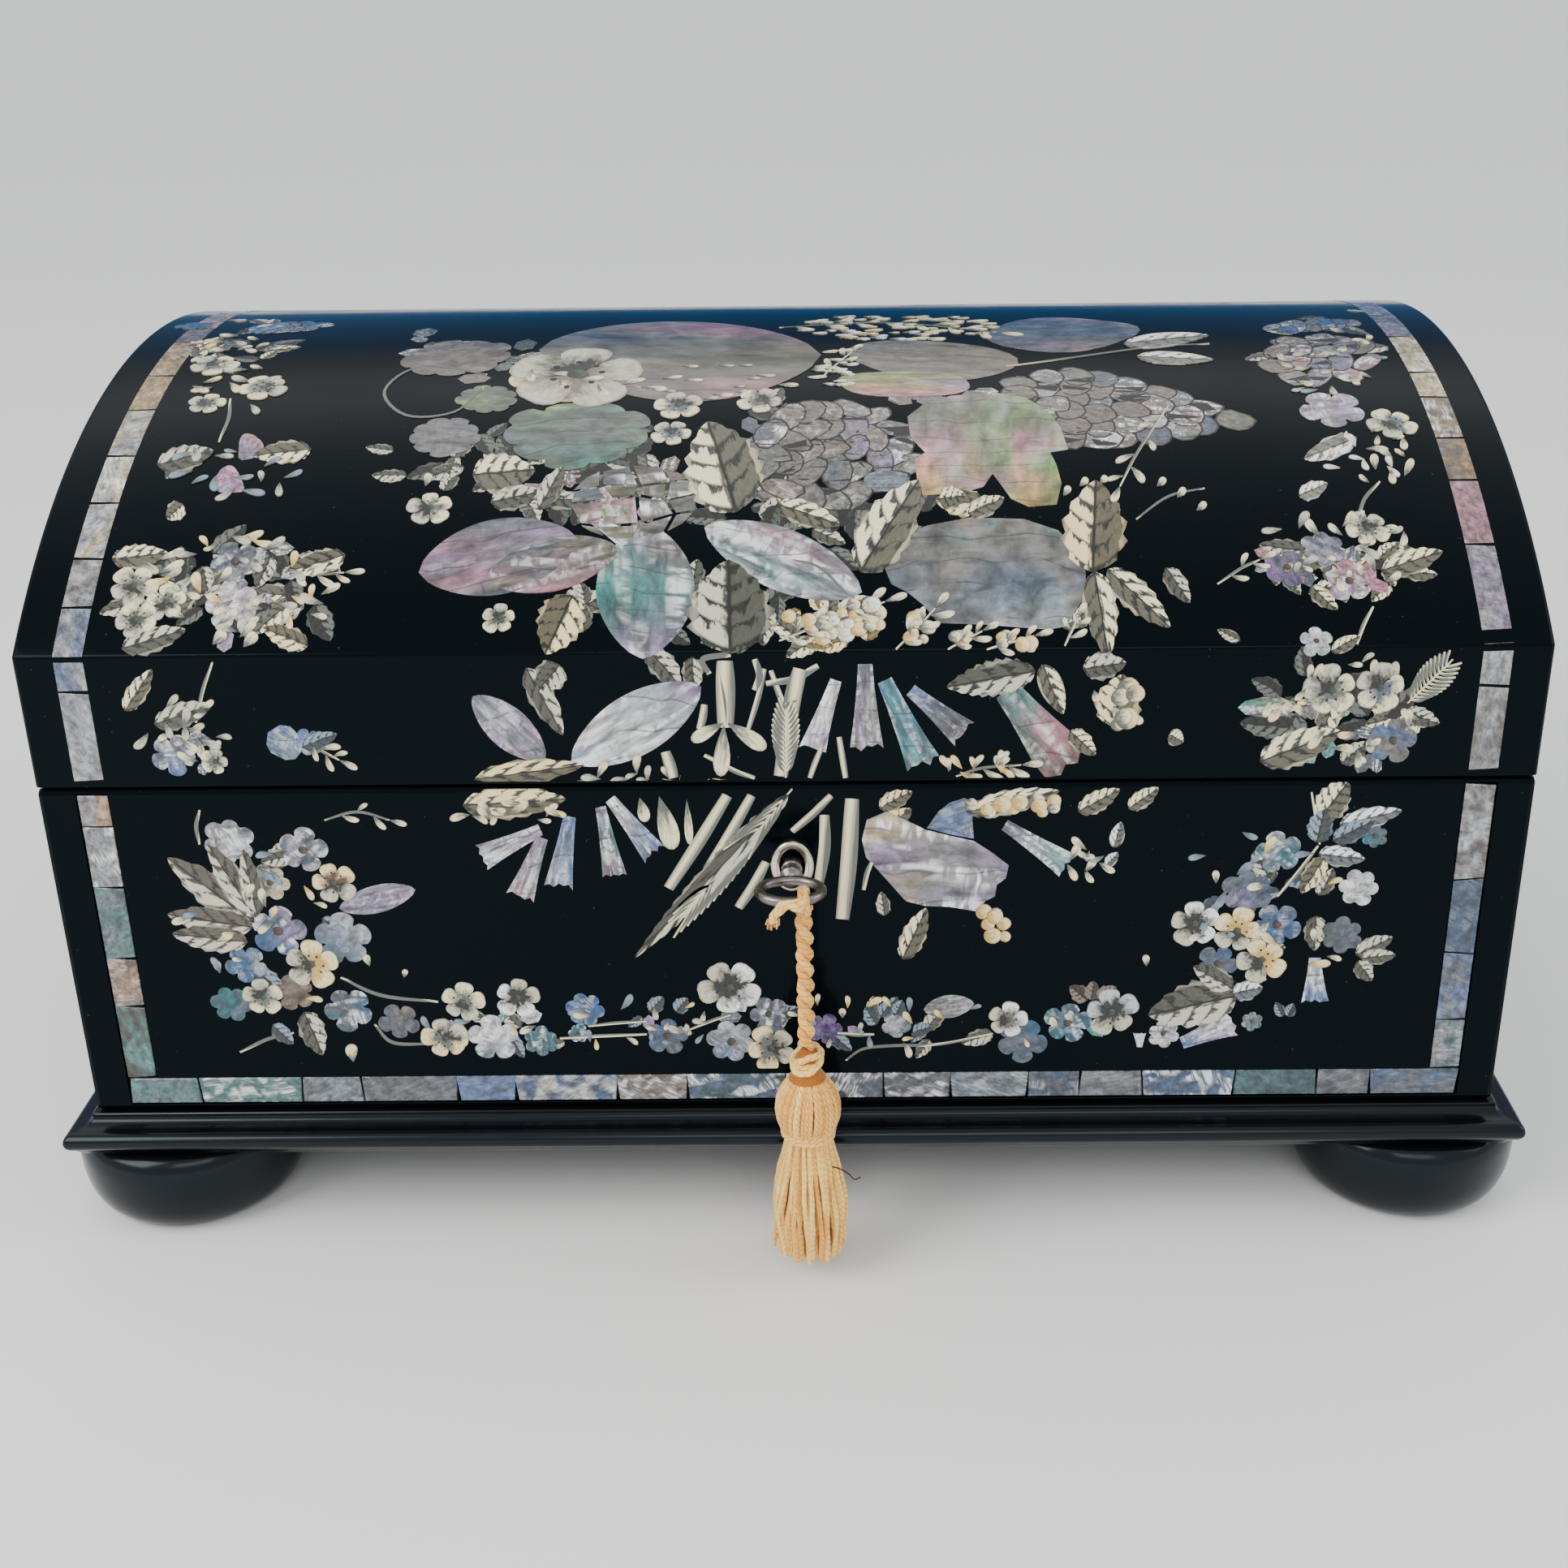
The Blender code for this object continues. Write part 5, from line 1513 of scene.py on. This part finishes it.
LID_LEAVES = [
    ((1346, 706), (1350, 592), 78, "cream|ash", 5), ((1372, 896), (1384, 830), 56, "cream|ash", 4),
    ((1212, 622), (1152, 616), 36, "cream|ash", 4), ((908, 632), (872, 520), 96, "ivory|ash", 7),
    ((900, 806), (898, 690), 104, "bone|sage", 6), ((1060, 706), (1132, 592), 66, "ivory|ash", 6),
    ((958, 622), (1036, 648), 32, "ivory|ash", 5), ((582, 586), (660, 580), 50, "ivory|ash", 5),
    ((604, 620), (668, 606), 30, "bone|sage", 4), ((664, 628), (694, 576), 28, "bone|ash", 4),
    ((706, 734), (672, 806), 58, "cream|sage", 6), ((1384, 424), (1490, 414), 18, "white|bone", 0),
    ((1400, 440), (1496, 444), 16, "white|bone", 0), ((1348, 704), (1364, 812), 42, "ivory|ash", 5),
    ((1364, 702), (1442, 774), 38, "ivory|ash", 6), ((1436, 700), (1466, 744), 26, "bone|sage", 3),
    ((1156, 616), (1190, 612), 30, "ivory|sage", 3), ((1192, 634), (1238, 614), 26, "ivory|ash", 3),
    ((1276, 826), (1166, 846), 44, "bone|sage", 9), ((1284, 818), (1310, 880), 30, "ivory|ash", 0),
    ((1334, 824), (1388, 816), 34, "bone|sage", 4), ((584, 960), (720, 942), 34, "cream|ash", 4),
    ((1440, 904), (1458, 914), 22, "ivory|ash", 0), ((648, 822), (694, 906), 32, "bone|ash", 4),
    ((690, 818), (664, 850), 40, "bone|sage", 3), ((1318, 900), (1350, 930), 26, "ivory|ash", 3),
    ((194, 574), (264, 556), 32, "bone|sage", 5), ((384, 554), (312, 562), 28, "ivory|sage", 5),
    ((230, 560), (204, 590), 24, "bone|ash", 3), ((226, 622), (206, 640), 24, "ivory|ash", 3),
    ((138, 690), (208, 682), 30, "ivory|ash", 6), ((426, 684), (352, 706), 30, "ivory|sage", 6),
    ((150, 800), (230, 776), 32, "bone|sage", 5), ((380, 796), (324, 774), 30, "cream|ash", 5),
    ((190, 892), (262, 868), 32, "bone|ash", 5), ((154, 876), (188, 824), 26, "ivory|sage", 4),
    ((1672, 540), (1606, 566), 28, "white|bone", 3), ((1600, 612), (1636, 596), 22, "white|bone", 3),
    ((1702, 704), (1778, 680), 32, "ivory|ash", 5), ((1552, 938), (1652, 900), 44, "ivory|ash", 6),
    ((1652, 940), (1686, 914), 24, "bone|sage", 4), ((1640, 802), (1676, 784), 18, "ivory|ash", 0),
    ((372, 920), (416, 904), 22, "mist|slate", 3), ((1528, 790), (1500, 776), 14, "bone|ash", 0),
]
LID_BLOSSOMS = [
    ((712, 462), 86, "bone|taupe"), ((836, 500), 30, "ivory|slate"), ((828, 534), 26, "ivory|slate"),
    ((936, 494), 30, "ivory|ash"), ((530, 626), 28, "ivory|ash"), ((615, 762), 22, "ivory|sage"),
    ((265, 450), 30, "ivory|ash"), ((325, 478), 30, "ivory|ash"), ((255, 498), 24, "ivory|sage"),
    ((165, 722), 30, "ivory|ash"), ((205, 742), 28, "ivory|ash"), ((168, 764), 26, "ivory|sage"),
    ((265, 938), 18, "ivory|ash"), ((1715, 522), 30, "ivory|slate"), ((1684, 652), 28, "ivory|ash"),
    ((1640, 850), 34, "ivory|ash"), ((1700, 846), 32, "ivory|slate"),
]
LID_SCATTERS = [
    # the dark greenery between the figures
    ("leaf", (700, 590), 110, 50, 26, 0.0090, "ash|soot bone|sage sage|soot"),
    ("leaf", (900, 560), 120, 70, 22, 0.0090, "ash|soot bone|sage sage|soot"),
    ("leaf", (980, 650), 90, 60, 20, 0.0085, "ash|soot bone|sage sage|soot"),
    ("leaf", (840, 760), 150, 50, 22, 0.0080, "ash|soot bone|sage"),
    ("leaf", (1060, 640), 80, 50, 14, 0.0075, "bone|sage ash|soot"),
    ("leaf", (560, 560), 80, 50, 10, 0.0075, "ash|soot bone|sage"),
    ("bit", (980, 560), 110, 60, 26, 0.0050, "grey slate taupe"),
    ("bit", (760, 610), 90, 44, 18, 0.0050, "grey taupe rose>grey"),
    ("bit", (1180, 490), 110, 26, 18, 0.0060, "grey taupe"),
    ("bit", (560, 440), 90, 30, 12, 0.0070, "grey sage slate"),
    # berries and small pale leaves
    ("dash", (1090, 404), 130, 16, 70, 0.0036, "ivory|bone white|ash cream|ash"),
    ("dash", (1020, 452), 30, 24, 20, 0.0034, "ivory|bone white|ash"),
    ("dash", (880, 470), 80, 24, 14, 0.0036, "ivory|ash bone|ash"),
    ("berry", (1030, 762), 62, 28, 22, 0.0030, "cream|gold ivory|ash white|bone"),
    ("leaf", (1030, 770), 62, 30, 12, 0.0062, "ivory|ash cream|gold"),
    ("berry", (1128, 776), 22, 20, 8, 0.0028, "cream|gold ivory|ash"),
    ("berry", (1192, 790), 20, 10, 6, 0.0028, "cream|gold ivory|ash"),
    ("berry", (1246, 794), 26, 10, 8, 0.0028, "cream|gold ivory|ash"),
    ("leaf", (1320, 778), 10, 14, 2, 0.0050, "ivory|ash"),
    ("bud", (800, 960), 110, 10, 12, 0.0034, "bone|ash cream|ash"),
    ("bud", (1210, 948), 46, 8, 12, 0.0034, "cream|gold ivory|ash"),
    ("berry", (1376, 866), 28, 26, 7, 0.0036, "ivory|ash cream|ash"),
    # the left garland
    ("leaf", (300, 430), 66, 40, 16, 0.0075, "bone|ash ivory|sage ash|soot"),
    ("bud", (290, 450), 66, 60, 26, 0.0045, "ivory|ash cream|ash bone|ash"),
    ("bud", (285, 574), 80, 34, 14, 0.0042, "bone|ash mist|ash"),
    ("leaf", (280, 720), 130, 56, 26, 0.0085, "ivory|ash bone|sage ash|soot"),
    ("bud", (280, 730), 130, 70, 44, 0.0044, "ivory|ash cream|gold bone|ash"),
    ("bit", (290, 720), 60, 60, 14, 0.0042, "grey slate lilac silver"),
    ("bud", (225, 905), 50, 44, 20, 0.0038, "ivory|ash bone|ash"),
    ("bit", (230, 920), 36, 26, 8, 0.0038, "blue slate silver"),
    # the right garland
    ("leaf", (1640, 420), 80, 40, 16, 0.0070, "bone|ash ash|soot"),
    ("bud", (1640, 450), 80, 50, 26, 0.0040, "ivory|ash bone|ash mist|ash"),
    ("bud", (1690, 560), 56, 40, 18, 0.0038, "ivory|ash white|bone"),
    ("leaf", (1660, 690), 90, 40, 18, 0.0075, "bone|ash ivory|sage ash|soot"),
    ("bud", (1660, 680), 100, 50, 26, 0.0040, "ivory|ash bone|ash"),
    ("bit", (1630, 700), 70, 34, 12, 0.0044, "rose lilac slate"),
    ("leaf", (1670, 870), 96, 50, 20, 0.0080, "ivory|ash bone|sage ash|soot"),
    ("bud", (1660, 870), 100, 60, 28, 0.0040, "ivory|ash cream|ash bone|ash"),
    ("bit", (1660, 910), 70, 30, 10, 0.0044, "grey slate teal"),
]
LID_BUDS = [
    ((1425, 600), (1436, 590), 12), ((1450, 614), (1460, 602), 12), ((1474, 630), (1486, 620), 12),
    ((1310, 612), (1318, 600), 12), ((1330, 600), (1340, 590), 12), ((1355, 596), (1364, 588), 12),
    ((1348, 850), (1352, 864), 14), ((1372, 868), (1378, 884), 14), ((1398, 878), (1406, 892), 14),
    ((524, 600), (530, 584), 14), ((1695, 580), (1692, 560), 14), ((1730, 588), (1740, 566), 14),
    ((262, 795), (278, 778), 20), ((300, 798), (316, 780), 20),
]
LID_FUCHSIAS = [((892, 890), (852, 912), 22), ((892, 892), (888, 956), 28), ((896, 890), (944, 922), 26)]
LID_PLUMES = [((968, 958), (968, 866), 34, 12), ((1734, 866), (1790, 812), 40, 11)]
LID_STEMS = [
    ([(893, 814), (894, 850), (894, 896)], 0.0038), ([(942, 824), (934, 860), (922, 898)], 0.0011),
    ([(950, 826), (962, 860), (978, 892)], 0.0012), ([(1008, 820), (980, 836), (944, 842)], 0.0014),
    ([(1012, 922), (1004, 940), (998, 958)], 0.0012), ([(1034, 908), (1038, 934), (1042, 958)], 0.0013),
    ([(986, 824), (976, 864), (962, 956)], 0.0034), ([(874, 830), (866, 812), (900, 806)], 0.0012),
    ([(930, 812), (936, 832), (930, 850)], 0.0014), ([(868, 930), (906, 950), (930, 958)], 0.0010),
    ([(820, 926), (826, 944), (830, 958)], 0.0024), ([(868, 868), (866, 884), (862, 898)], 0.0016),
    ([(600, 462), (520, 452), (474, 482), (500, 512), (560, 508), (596, 478)], 0.0007),
    ([(886, 832), (892, 862), (894, 892)], 0.0008), ([(952, 900), (968, 870), (984, 862)], 0.0006),
    ([(270, 545), (282, 516), (284, 492)], 0.0008), ([(1700, 594), (1682, 614), (1672, 640)], 0.0008),
    ([(1692, 748), (1680, 770), (1672, 794)], 0.0008), ([(262, 816), (250, 850), (242, 890)], 0.0007),
    ([(1240, 452), (1330, 440), (1420, 428), (1490, 424)], 0.0007), ([(1400, 640), (1440, 612), (1484, 602)], 0.0006),
    ([(975, 690), (1010, 700), (1050, 740)], 0.0006),
]
LID_SPRIGS = [
    ([(352, 700), (390, 708), (424, 706)], 5, 0.0042), ([(960, 404), (1090, 398), (1228, 410)], 13, 0.0065),
    ([(1012, 466), (1030, 450), (1050, 434)], 4, 0.005), ([(1440, 500), (1400, 560), (1380, 600)], 5, 0.005),
    ([(960, 790), (1010, 770), (1090, 742)], 8, 0.0048), ([(1104, 800), (1130, 776), (1152, 750)], 5, 0.0045),
    ([(1168, 800), (1190, 788), (1210, 778)], 4, 0.004), ([(1216, 800), (1246, 792), (1274, 784)], 4, 0.004),
    ([(1312, 796), (1320, 778), (1328, 762)], 3, 0.004), ([(380, 912), (398, 926), (418, 936)], 4, 0.004),
    ([(1178, 956), (1210, 946), (1258, 942)], 5, 0.0045), ([(640, 450), (700, 470), (790, 478)], 6, 0.006),
    ([(1500, 720), (1530, 700), (1552, 690)], 3, 0.004),
]

BODY_PEARLS = [
    ("torn", (666, 1022), (590, 1058), 34, "lilac>slate|silver>white", 0.8),
    ("torn", (668, 1032), (640, 1108), 36, "lilac>rose|slate>silver", 0.6),
    ("torn", (702, 1006), (688, 1094), 36, "slate>blue|blue>silver", 0.5),
    ("torn", (740, 994), (758, 1082), 30, "lilac>teal>rose|slate", 0.7),
    ("torn", (752, 984), (808, 1054), 32, "silver>blue|white>slate", 0.9),
    ("torn", (1238, 1016), (1318, 1068), 34, "silver>teal|slate>lilac", 0.8),
    ("lens", (418, 1119), (512, 1096), 34, "slate>lilac|lilac>grey", 0.4),
    ("torn", (914, 1246), (916, 1226), 22, "lilac>white|white", 1.0),
    ("lens", (1138, 1244), (1200, 1236), 28, "slate>silver|grey", 0.3),
    ("torn", (1404, 1290), (1404, 1272), 16, "white|silver", 1.0),
    ("torn", (1456, 1285), (1522, 1258), 34, "blue>lilac|lilac>white", 0.7),
    ("torn", (1620, 1180), (1620, 1236), 34, "white>blue|silver>blue", 0.9),
]
BODY_CUTS = [
    ([(1062, 1034), (1068, 1010), (1092, 1000), (1116, 1010), (1140, 1022), (1172, 1030), (1200, 1036), (1222, 1050),
      (1243, 1066), (1239, 1082), (1228, 1090), (1226, 1104), (1214, 1110), (1205, 1123), (1170, 1117), (1140, 1116),
      (1116, 1110), (1100, 1092), (1082, 1072), (1067, 1056)],
     (1062, 1058), (1244, 1066), 124, "cream>taupe>silver>grey|^slate>lilac>grey", 1.0),
    ([(1142, 1020), (1156, 1000), (1170, 989), (1188, 983), (1200, 988), (1198, 1010), (1200, 1033), (1172, 1028)],
     (1144, 1020), (1200, 1000), 40, "slate>blue>grey|^blue>slate", 0.2),
]
BODY_VIOLETS = [
    # the left spray
    ((282, 1036), 34, "slate>grey|silver"), ((373, 1047), 33, "lilac>white|slate"), ((333, 1087), 27, "sea>cream|sage"),
    ((343, 1147), 38, "azure>slate|azure>lilac"), ((423, 1157), 40, "azure>silver|sea>silver"),
    ((303, 1188), 29, "sea>white|azure"), ((285, 1236), 27, "sea|slate"), ((362, 1222), 27, "taupe|brown"),
    ((429, 1243), 33, "sea>azure|slate"), ((493, 1258), 28, "slate>taupe|slate"),
    # the swag
    ((608, 1279), 35, "sea>white>lilac|azure>white"), ((668, 1283), 23, "sea|slate"),
    ((721, 1243), 25, "azure>slate|azure"), ((713, 1273), 14, "sea|slate"), ((822, 1276), 28, "slate>azure|slate"),
    ((901, 1283), 33, "azure>silver|slate"), ((947, 1249), 26, "sea>lilac|slate"),
    ((1017, 1267), 24, "azure>lilac|violet"), ((1104, 1262), 20, "slate|silver"), ((1258, 1282), 34, "azure>sea|slate"),
    ((1315, 1260), 31, "azure>slate|sea"), ((1433, 1273), 21, "silver|slate"), ((1542, 1258), 15, "sea|grey"),
    # the right spray
    ((1500, 1187), 28, "slate>azure|slate"), ((1573, 1139), 34, "azure>slate|azure"),
    ((1536, 1099), 34, "azure>lilac|slate"), ((1653, 1152), 28, "slate>sage|slate"),
    ((1575, 1050), 32, "slate>silver|sea"), ((1674, 1093), 27, "white|silver"), ((1694, 1030), 18, "sea|slate"),
]
BODY_LEAVES = [
    # under the bouquet
    ((972, 978), (782, 1180), 30, "bone|sage", 14), ((570, 992), (698, 984), 44, "cream|ash", 6),
    ((1112, 1182), (1142, 1118), 30, "ivory|sage", 5), ((1090, 1128), (1086, 1098), 18, "bone|ash", 3),
    ((1372, 1044), (1382, 1012), 18, "white|ash", 0), ((1362, 1066), (1378, 1050), 14, "white|ash", 0),
    ((1190, 1000), (1306, 974), 30, "ivory|ash", 6), ((1328, 1000), (1380, 972), 26, "ivory|ash", 5),
    ((1390, 996), (1428, 970), 22, "ivory|ash", 4),
    # the left spray
    ((314, 1136), (206, 1056), 42, "bone|taupe", 5), ((316, 1130), (256, 1040), 34, "bone|taupe", 4),
    ((318, 1128), (300, 1046), 28, "bone|ash", 4), ((312, 1142), (206, 1126), 36, "bone|taupe", 5),
    ((306, 1160), (212, 1150), 34, "bone|taupe", 5), ((375, 1246), (398, 1300), 32, "bone|ash", 4),
    ((336, 1262), (362, 1286), 20, "mist|ash", 3),
    # the swag
    ((800, 1246), (818, 1228), 20, "mist|ash", 3), ((832, 1246), (848, 1230), 20, "mist|ash", 3),
    ((1080, 1262), (1066, 1240), 20, "mist|slate", 3), ((1104, 1250), (1112, 1232), 18, "mist|slate", 3),
    ((1124, 1272), (1148, 1264), 18, "mist|slate", 3), ((1340, 1232), (1318, 1214), 22, "taupe|brown", 3),
    ((1344, 1232), (1348, 1208), 20, "taupe|ash", 3), ((1352, 1232), (1376, 1216), 22, "taupe|ash", 3),
    ((1524, 1226), (1414, 1250), 56, "bone|ash", 6), ((1520, 1218), (1470, 1190), 30, "bone|ash", 4),
    ((1518, 1224), (1556, 1216), 24, "white|mist", 3), ((1580, 1252), (1572, 1234), 14, "mist|soot", 0),
    ((1586, 1252), (1594, 1236), 14, "mist|soot", 0),
    # the right spray
    ((1626, 1008), (1662, 962), 40, "ivory|ash", 5), ((1622, 1038), (1632, 996), 32, "mist|ash", 4),
    ((1650, 1016), (1728, 998), 26, "white|mist", 4), ((1642, 1036), (1694, 1010), 26, "mist|slate", 4),
    ((1624, 1052), (1682, 1058), 26, "white|mist", 4), ((1632, 1056), (1602, 1100), 26, "cream|ash", 4),
    ((1670, 1176), (1716, 1154), 24, "bone|ash", 4), ((1676, 1180), (1720, 1176), 20, "bone|ash", 3),
    ((1672, 1184), (1690, 1208), 24, "bone|ash", 3),
]
BODY_BLOSSOMS = [
    ((384, 1187), 34, "cream|gold"), ((324, 1228), 25, "ivory|ash"), ((411, 1087), 29, "cream|brown"),
    ((570, 1234), 27, "ivory|ash"), ((638, 1228), 29, "white|soot"), ((549, 1279), 29, "cream|ash"),
    ((899, 1216), 38, "white|soot"), ((950, 1291), 32, "cream|ash"), ((1241, 1256), 25, "white|ash"),
    ((1369, 1246), 34, "silver|soot"), ((1472, 1137), 32, "white|soot"), ((1524, 1146), 31, "cream|gold"),
    ((1554, 1182), 32, "cream|gold"),
]
BODY_SCATTERS = [
    ("leaf", (1100, 1030), 40, 44, 8, 0.0075, "bone|ash cream|ash"),
    ("bud", (640, 1000), 66, 14, 14, 0.0040, "cream|ash ivory|ash"),
    ("berry", (1250, 992), 60, 12, 12, 0.0030, "cream|gold ivory|ash"),
    ("berry", (1222, 1140), 22, 24, 8, 0.0030, "cream|gold ivory|ash"),
    ("bud", (1340, 1060), 30, 14, 8, 0.0036, "ivory|ash mist|ash"),
    # the sprays and the swag
    ("bud", (330, 1150), 100, 100, 18, 0.0038, "ivory|ash cream|gold mist|slate"),
    ("leaf", (330, 1120), 80, 80, 8, 0.0070, "mist|slate bone|sage"),
    ("bud", (1560, 1120), 100, 100, 18, 0.0038, "ivory|ash cream|gold mist|slate"),
    ("leaf", (1580, 1110), 80, 80, 8, 0.0070, "mist|slate bone|sage"),
    ("bud", (930, 1262), 470, 24, 44, 0.0034, "ivory|ash cream|gold mist|slate bone|ash"),
    ("leaf", (930, 1266), 460, 20, 16, 0.0056, "bone|ash mist|slate"),
    ("bit", (930, 1262), 440, 22, 14, 0.0040, "blue slate teal silver lilac"),
]
BODY_BUDS = [
    ((788, 982), (796, 1012), 20), ((812, 980), (830, 1046), 34), ((846, 984), (850, 1040), 14),
    ((1318, 1060), (1330, 1040), 14), ((1336, 1074), (1350, 1058), 12), ((456, 1190), (450, 1176), 12),
    ((436, 1308), (432, 1286), 20), ((498, 1204), (500, 1194), 10), ((272, 1198), (266, 1184), 12),
    ((1412, 1190), (1412, 1176), 12), ((1498, 1088), (1498, 1072), 12), ((1038, 1254), (1038, 1242), 12),
]
BODY_STEMS = [
    ([(896, 980), (862, 1036), (824, 1094)], 0.0026), ([(926, 980), (900, 1026), (872, 1070)], 0.0022),
    ([(944, 1062), (928, 1092), (910, 1118)], 0.0022), ([(1024, 980), (1000, 1004), (976, 1024)], 0.0016),
    ([(1016, 1004), (1016, 1046), (1008, 1092)], 0.0024), ([(1050, 984), (1046, 1060), (1038, 1132)], 0.0034),
    ([(856, 1086), (838, 1112), (832, 1130)], 0.0014), ([(1064, 1096), (1068, 1076), (1074, 1062)], 0.0010),
    ([(246, 1040), (242, 1018), (246, 998)], 0.0008), ([(420, 1204), (470, 1226), (540, 1234)], 0.0008),
    ([(462, 1262), (484, 1284), (530, 1286)], 0.0008), ([(296, 1296), (330, 1280), (362, 1272)], 0.0008),
    ([(690, 1279), (740, 1276), (797, 1274)], 0.0008), ([(725, 1264), (760, 1260), (797, 1258)], 0.0007),
    ([(850, 1268), (880, 1256), (900, 1250)], 0.0007), ([(1032, 1272), (1056, 1275), (1077, 1274)], 0.0008),
    ([(1042, 1306), (1064, 1292), (1101, 1288), (1160, 1286), (1223, 1273)], 0.0007),
    ([(1616, 976), (1622, 1010), (1626, 1040)], 0.0007), ([(1624, 1042), (1600, 1074), (1574, 1104)], 0.0008),
    ([(1560, 1206), (1540, 1216), (1520, 1224)], 0.0007),
]
BODY_EARS = [((976, 972), (836, 1136), 34, 16)]
BODY_SPRIGS = [([(400, 1010), (440, 1000), (480, 1010)], 3, 0.0036)]


def spot(pixel):
    """The place on the sheet of a pixel of the photograph."""
    return Vector(from_photo(*pixel))


def pixels_long(pixel, count):
    """The length on the sheet of count pixels across at a pixel."""
    return (spot((pixel[0] + count / 2, pixel[1])) - spot((pixel[0] - count / 2, pixel[1]))).length


def lay(ground, pearls, cuts, violets, scatters, leaves, blossoms, buds, stems, sprigs):
    """All the figures of the lists. A thick stem tapers less than a thin one."""
    for kind, centre, wide, high, count, size, tints in scatters:
        ground.scatter(kind, centre, wide, high, count, size, tints)
    for kind, base, tip, width, tints, shine in pearls:
        ground.pearl_piece(kind, Patch.seen(base, tip, width), tints, shine)
    for cut in cuts:
        ground.cut(*cut)
    for centre, radius, tints in violets:
        ground.violet(spot(centre), pixels_long(centre, radius), tints)
    for line, width in stems:
        ground.stroke([spot(pixel) for pixel in line], width, 0.35 if width < MM else 0.75)
    for line, count, size in sprigs:
        ground.sprig([spot(pixel) for pixel in line], count, size)
    for base, tip, width, tints, teeth in leaves:
        ground.leaf(Patch.seen(base, tip, width), tints, teeth)
    for centre, radius, tints in blossoms:
        ground.blossom(spot(centre), pixels_long(centre, radius), tints)
    for base, tip, width in buds:
        ground.bud(Patch.seen(base, tip, width))


def make_lid_flowers():
    folds = [SIDE_RUN, SIDE_RUN + FILLET_RUN / 2, DOME_START]
    folds += [DOME_START + SHEET_STEP * i for i in range(1, int(DOME_RUN / SHEET_STEP))]
    ground = Ground("lid_flowers", SEAM_MARGIN, LID_RUN - BACK_MARGIN, folds)
    lay(ground, LID_PEARLS, LID_CUTS, LID_VIOLETS, LID_SCATTERS, LID_LEAVES, LID_BLOSSOMS, LID_BUDS, LID_STEMS,
        LID_SPRIGS)
    for base, tip, width, tints, rows, columns, taper in LID_SHARDS:
        ground.shards(Patch.seen(base, tip, width), tints, rows, columns, taper)
    for base, tip, width, *rest in LID_SCALES:
        ground.scales(Patch.seen(base, tip, width), *rest)
    for base, tip, width in LID_FUCHSIAS:
        ground.bud(Patch.seen(base, tip, width))
    for base, tip, width, barbs in LID_PLUMES:
        ground.plume(Patch.seen(base, tip, width), barbs)
    ground.finish("lid")


def make_body_flowers():
    ground = Ground("body_flowers", BODY_BOTTOM - BODY_TOP + FOOT_MARGIN, -SEAM_MARGIN)
    lay(ground, BODY_PEARLS, BODY_CUTS, BODY_VIOLETS, BODY_SCATTERS, BODY_LEAVES, BODY_BLOSSOMS, BODY_BUDS,
        BODY_STEMS, BODY_SPRIGS)
    for base, tip, width, barbs in BODY_EARS:
        ground.plume(Patch.seen(base, tip, width), barbs)
    ground.finish("box")


# The floor and the light

FLOOR_REACH = 12.0
FLOOR_THICK = 0.004
# The point that the lights face
LIT = (0, 0, 0.08)
# The room behind the box: (height, colour), from straight down to straight up
ROOM = ((0.0, (0.03, 0.16, 0.40)), (0.42, (0.02, 0.13, 0.34)), (0.54, (0.45, 0.45, 0.45)), (0.7, (2.0, 2.0, 2.0)))


def make_floor():
    mesh = bpy.data.meshes.new("floor")
    vertices, faces = block((-FLOOR_REACH, -FLOOR_REACH, -FLOOR_THICK), (FLOOR_REACH, FLOOR_REACH, 0.0))
    mesh.from_pydata(vertices, [], faces)
    mesh.materials.append(floor_material())
    floor = bpy.data.objects.new("floor", mesh)
    bpy.context.scene.collection.objects.link(floor)


def add_light(name, place, size, watts, colour):
    data = bpy.data.lights.new(name, "AREA")
    data.shape = "RECTANGLE"
    data.size, data.size_y = size
    data.energy = watts
    data.color = colour
    light = bpy.data.objects.new(name, data)
    bpy.context.scene.collection.objects.link(light)
    light.location = place
    light.rotation_euler = (Vector(LIT) - Vector(place)).to_track_quat("-Z", "Y").to_euler()


def make_light():
    """A soft light from the left and two weaker ones, in a room that is pale in front and dim blue low behind."""
    g = Graph("room", bpy.data.worlds, "Background", Strength=1.0)
    _, y, z = g.split(g.place("Generated"))
    behind = g.add("MapRange", Value=y).outputs[0]
    bpy.context.scene.world = g.finish(Color=g.mix(behind, (0.95, 0.96, 0.97), g.ramp(z, *ROOM)))
    add_light("window", (-0.75, -0.55, 0.75), (0.6, 0.6), 8, (1.0, 0.98, 0.95))
    add_light("front_fill", (0.15, -1.2, 0.95), (0.9, 0.5), 4, (1.0, 1.0, 1.0))
    add_light("right_fill", (0.9, -0.2, 0.6), (0.5, 0.5), 2, (0.96, 0.98, 1.0))


make_camera()
cord_piece, cord_path = make_cord()
tassel_piece = make_tassel()
make_loop()
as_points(cord_path)
make_lid()
make_moulding()
for foot in ("foot_front_left", "foot_front_right", "foot_back_left", "foot_back_right"):
    make_foot(foot)
make_escutcheon()
make_key()
dress_hidden_metal()
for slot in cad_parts["body"].material_slots:
    slot.material = LINED_LACQUER
make_bands()
make_lid_flowers()
make_body_flowers()
make_floor()
make_light()
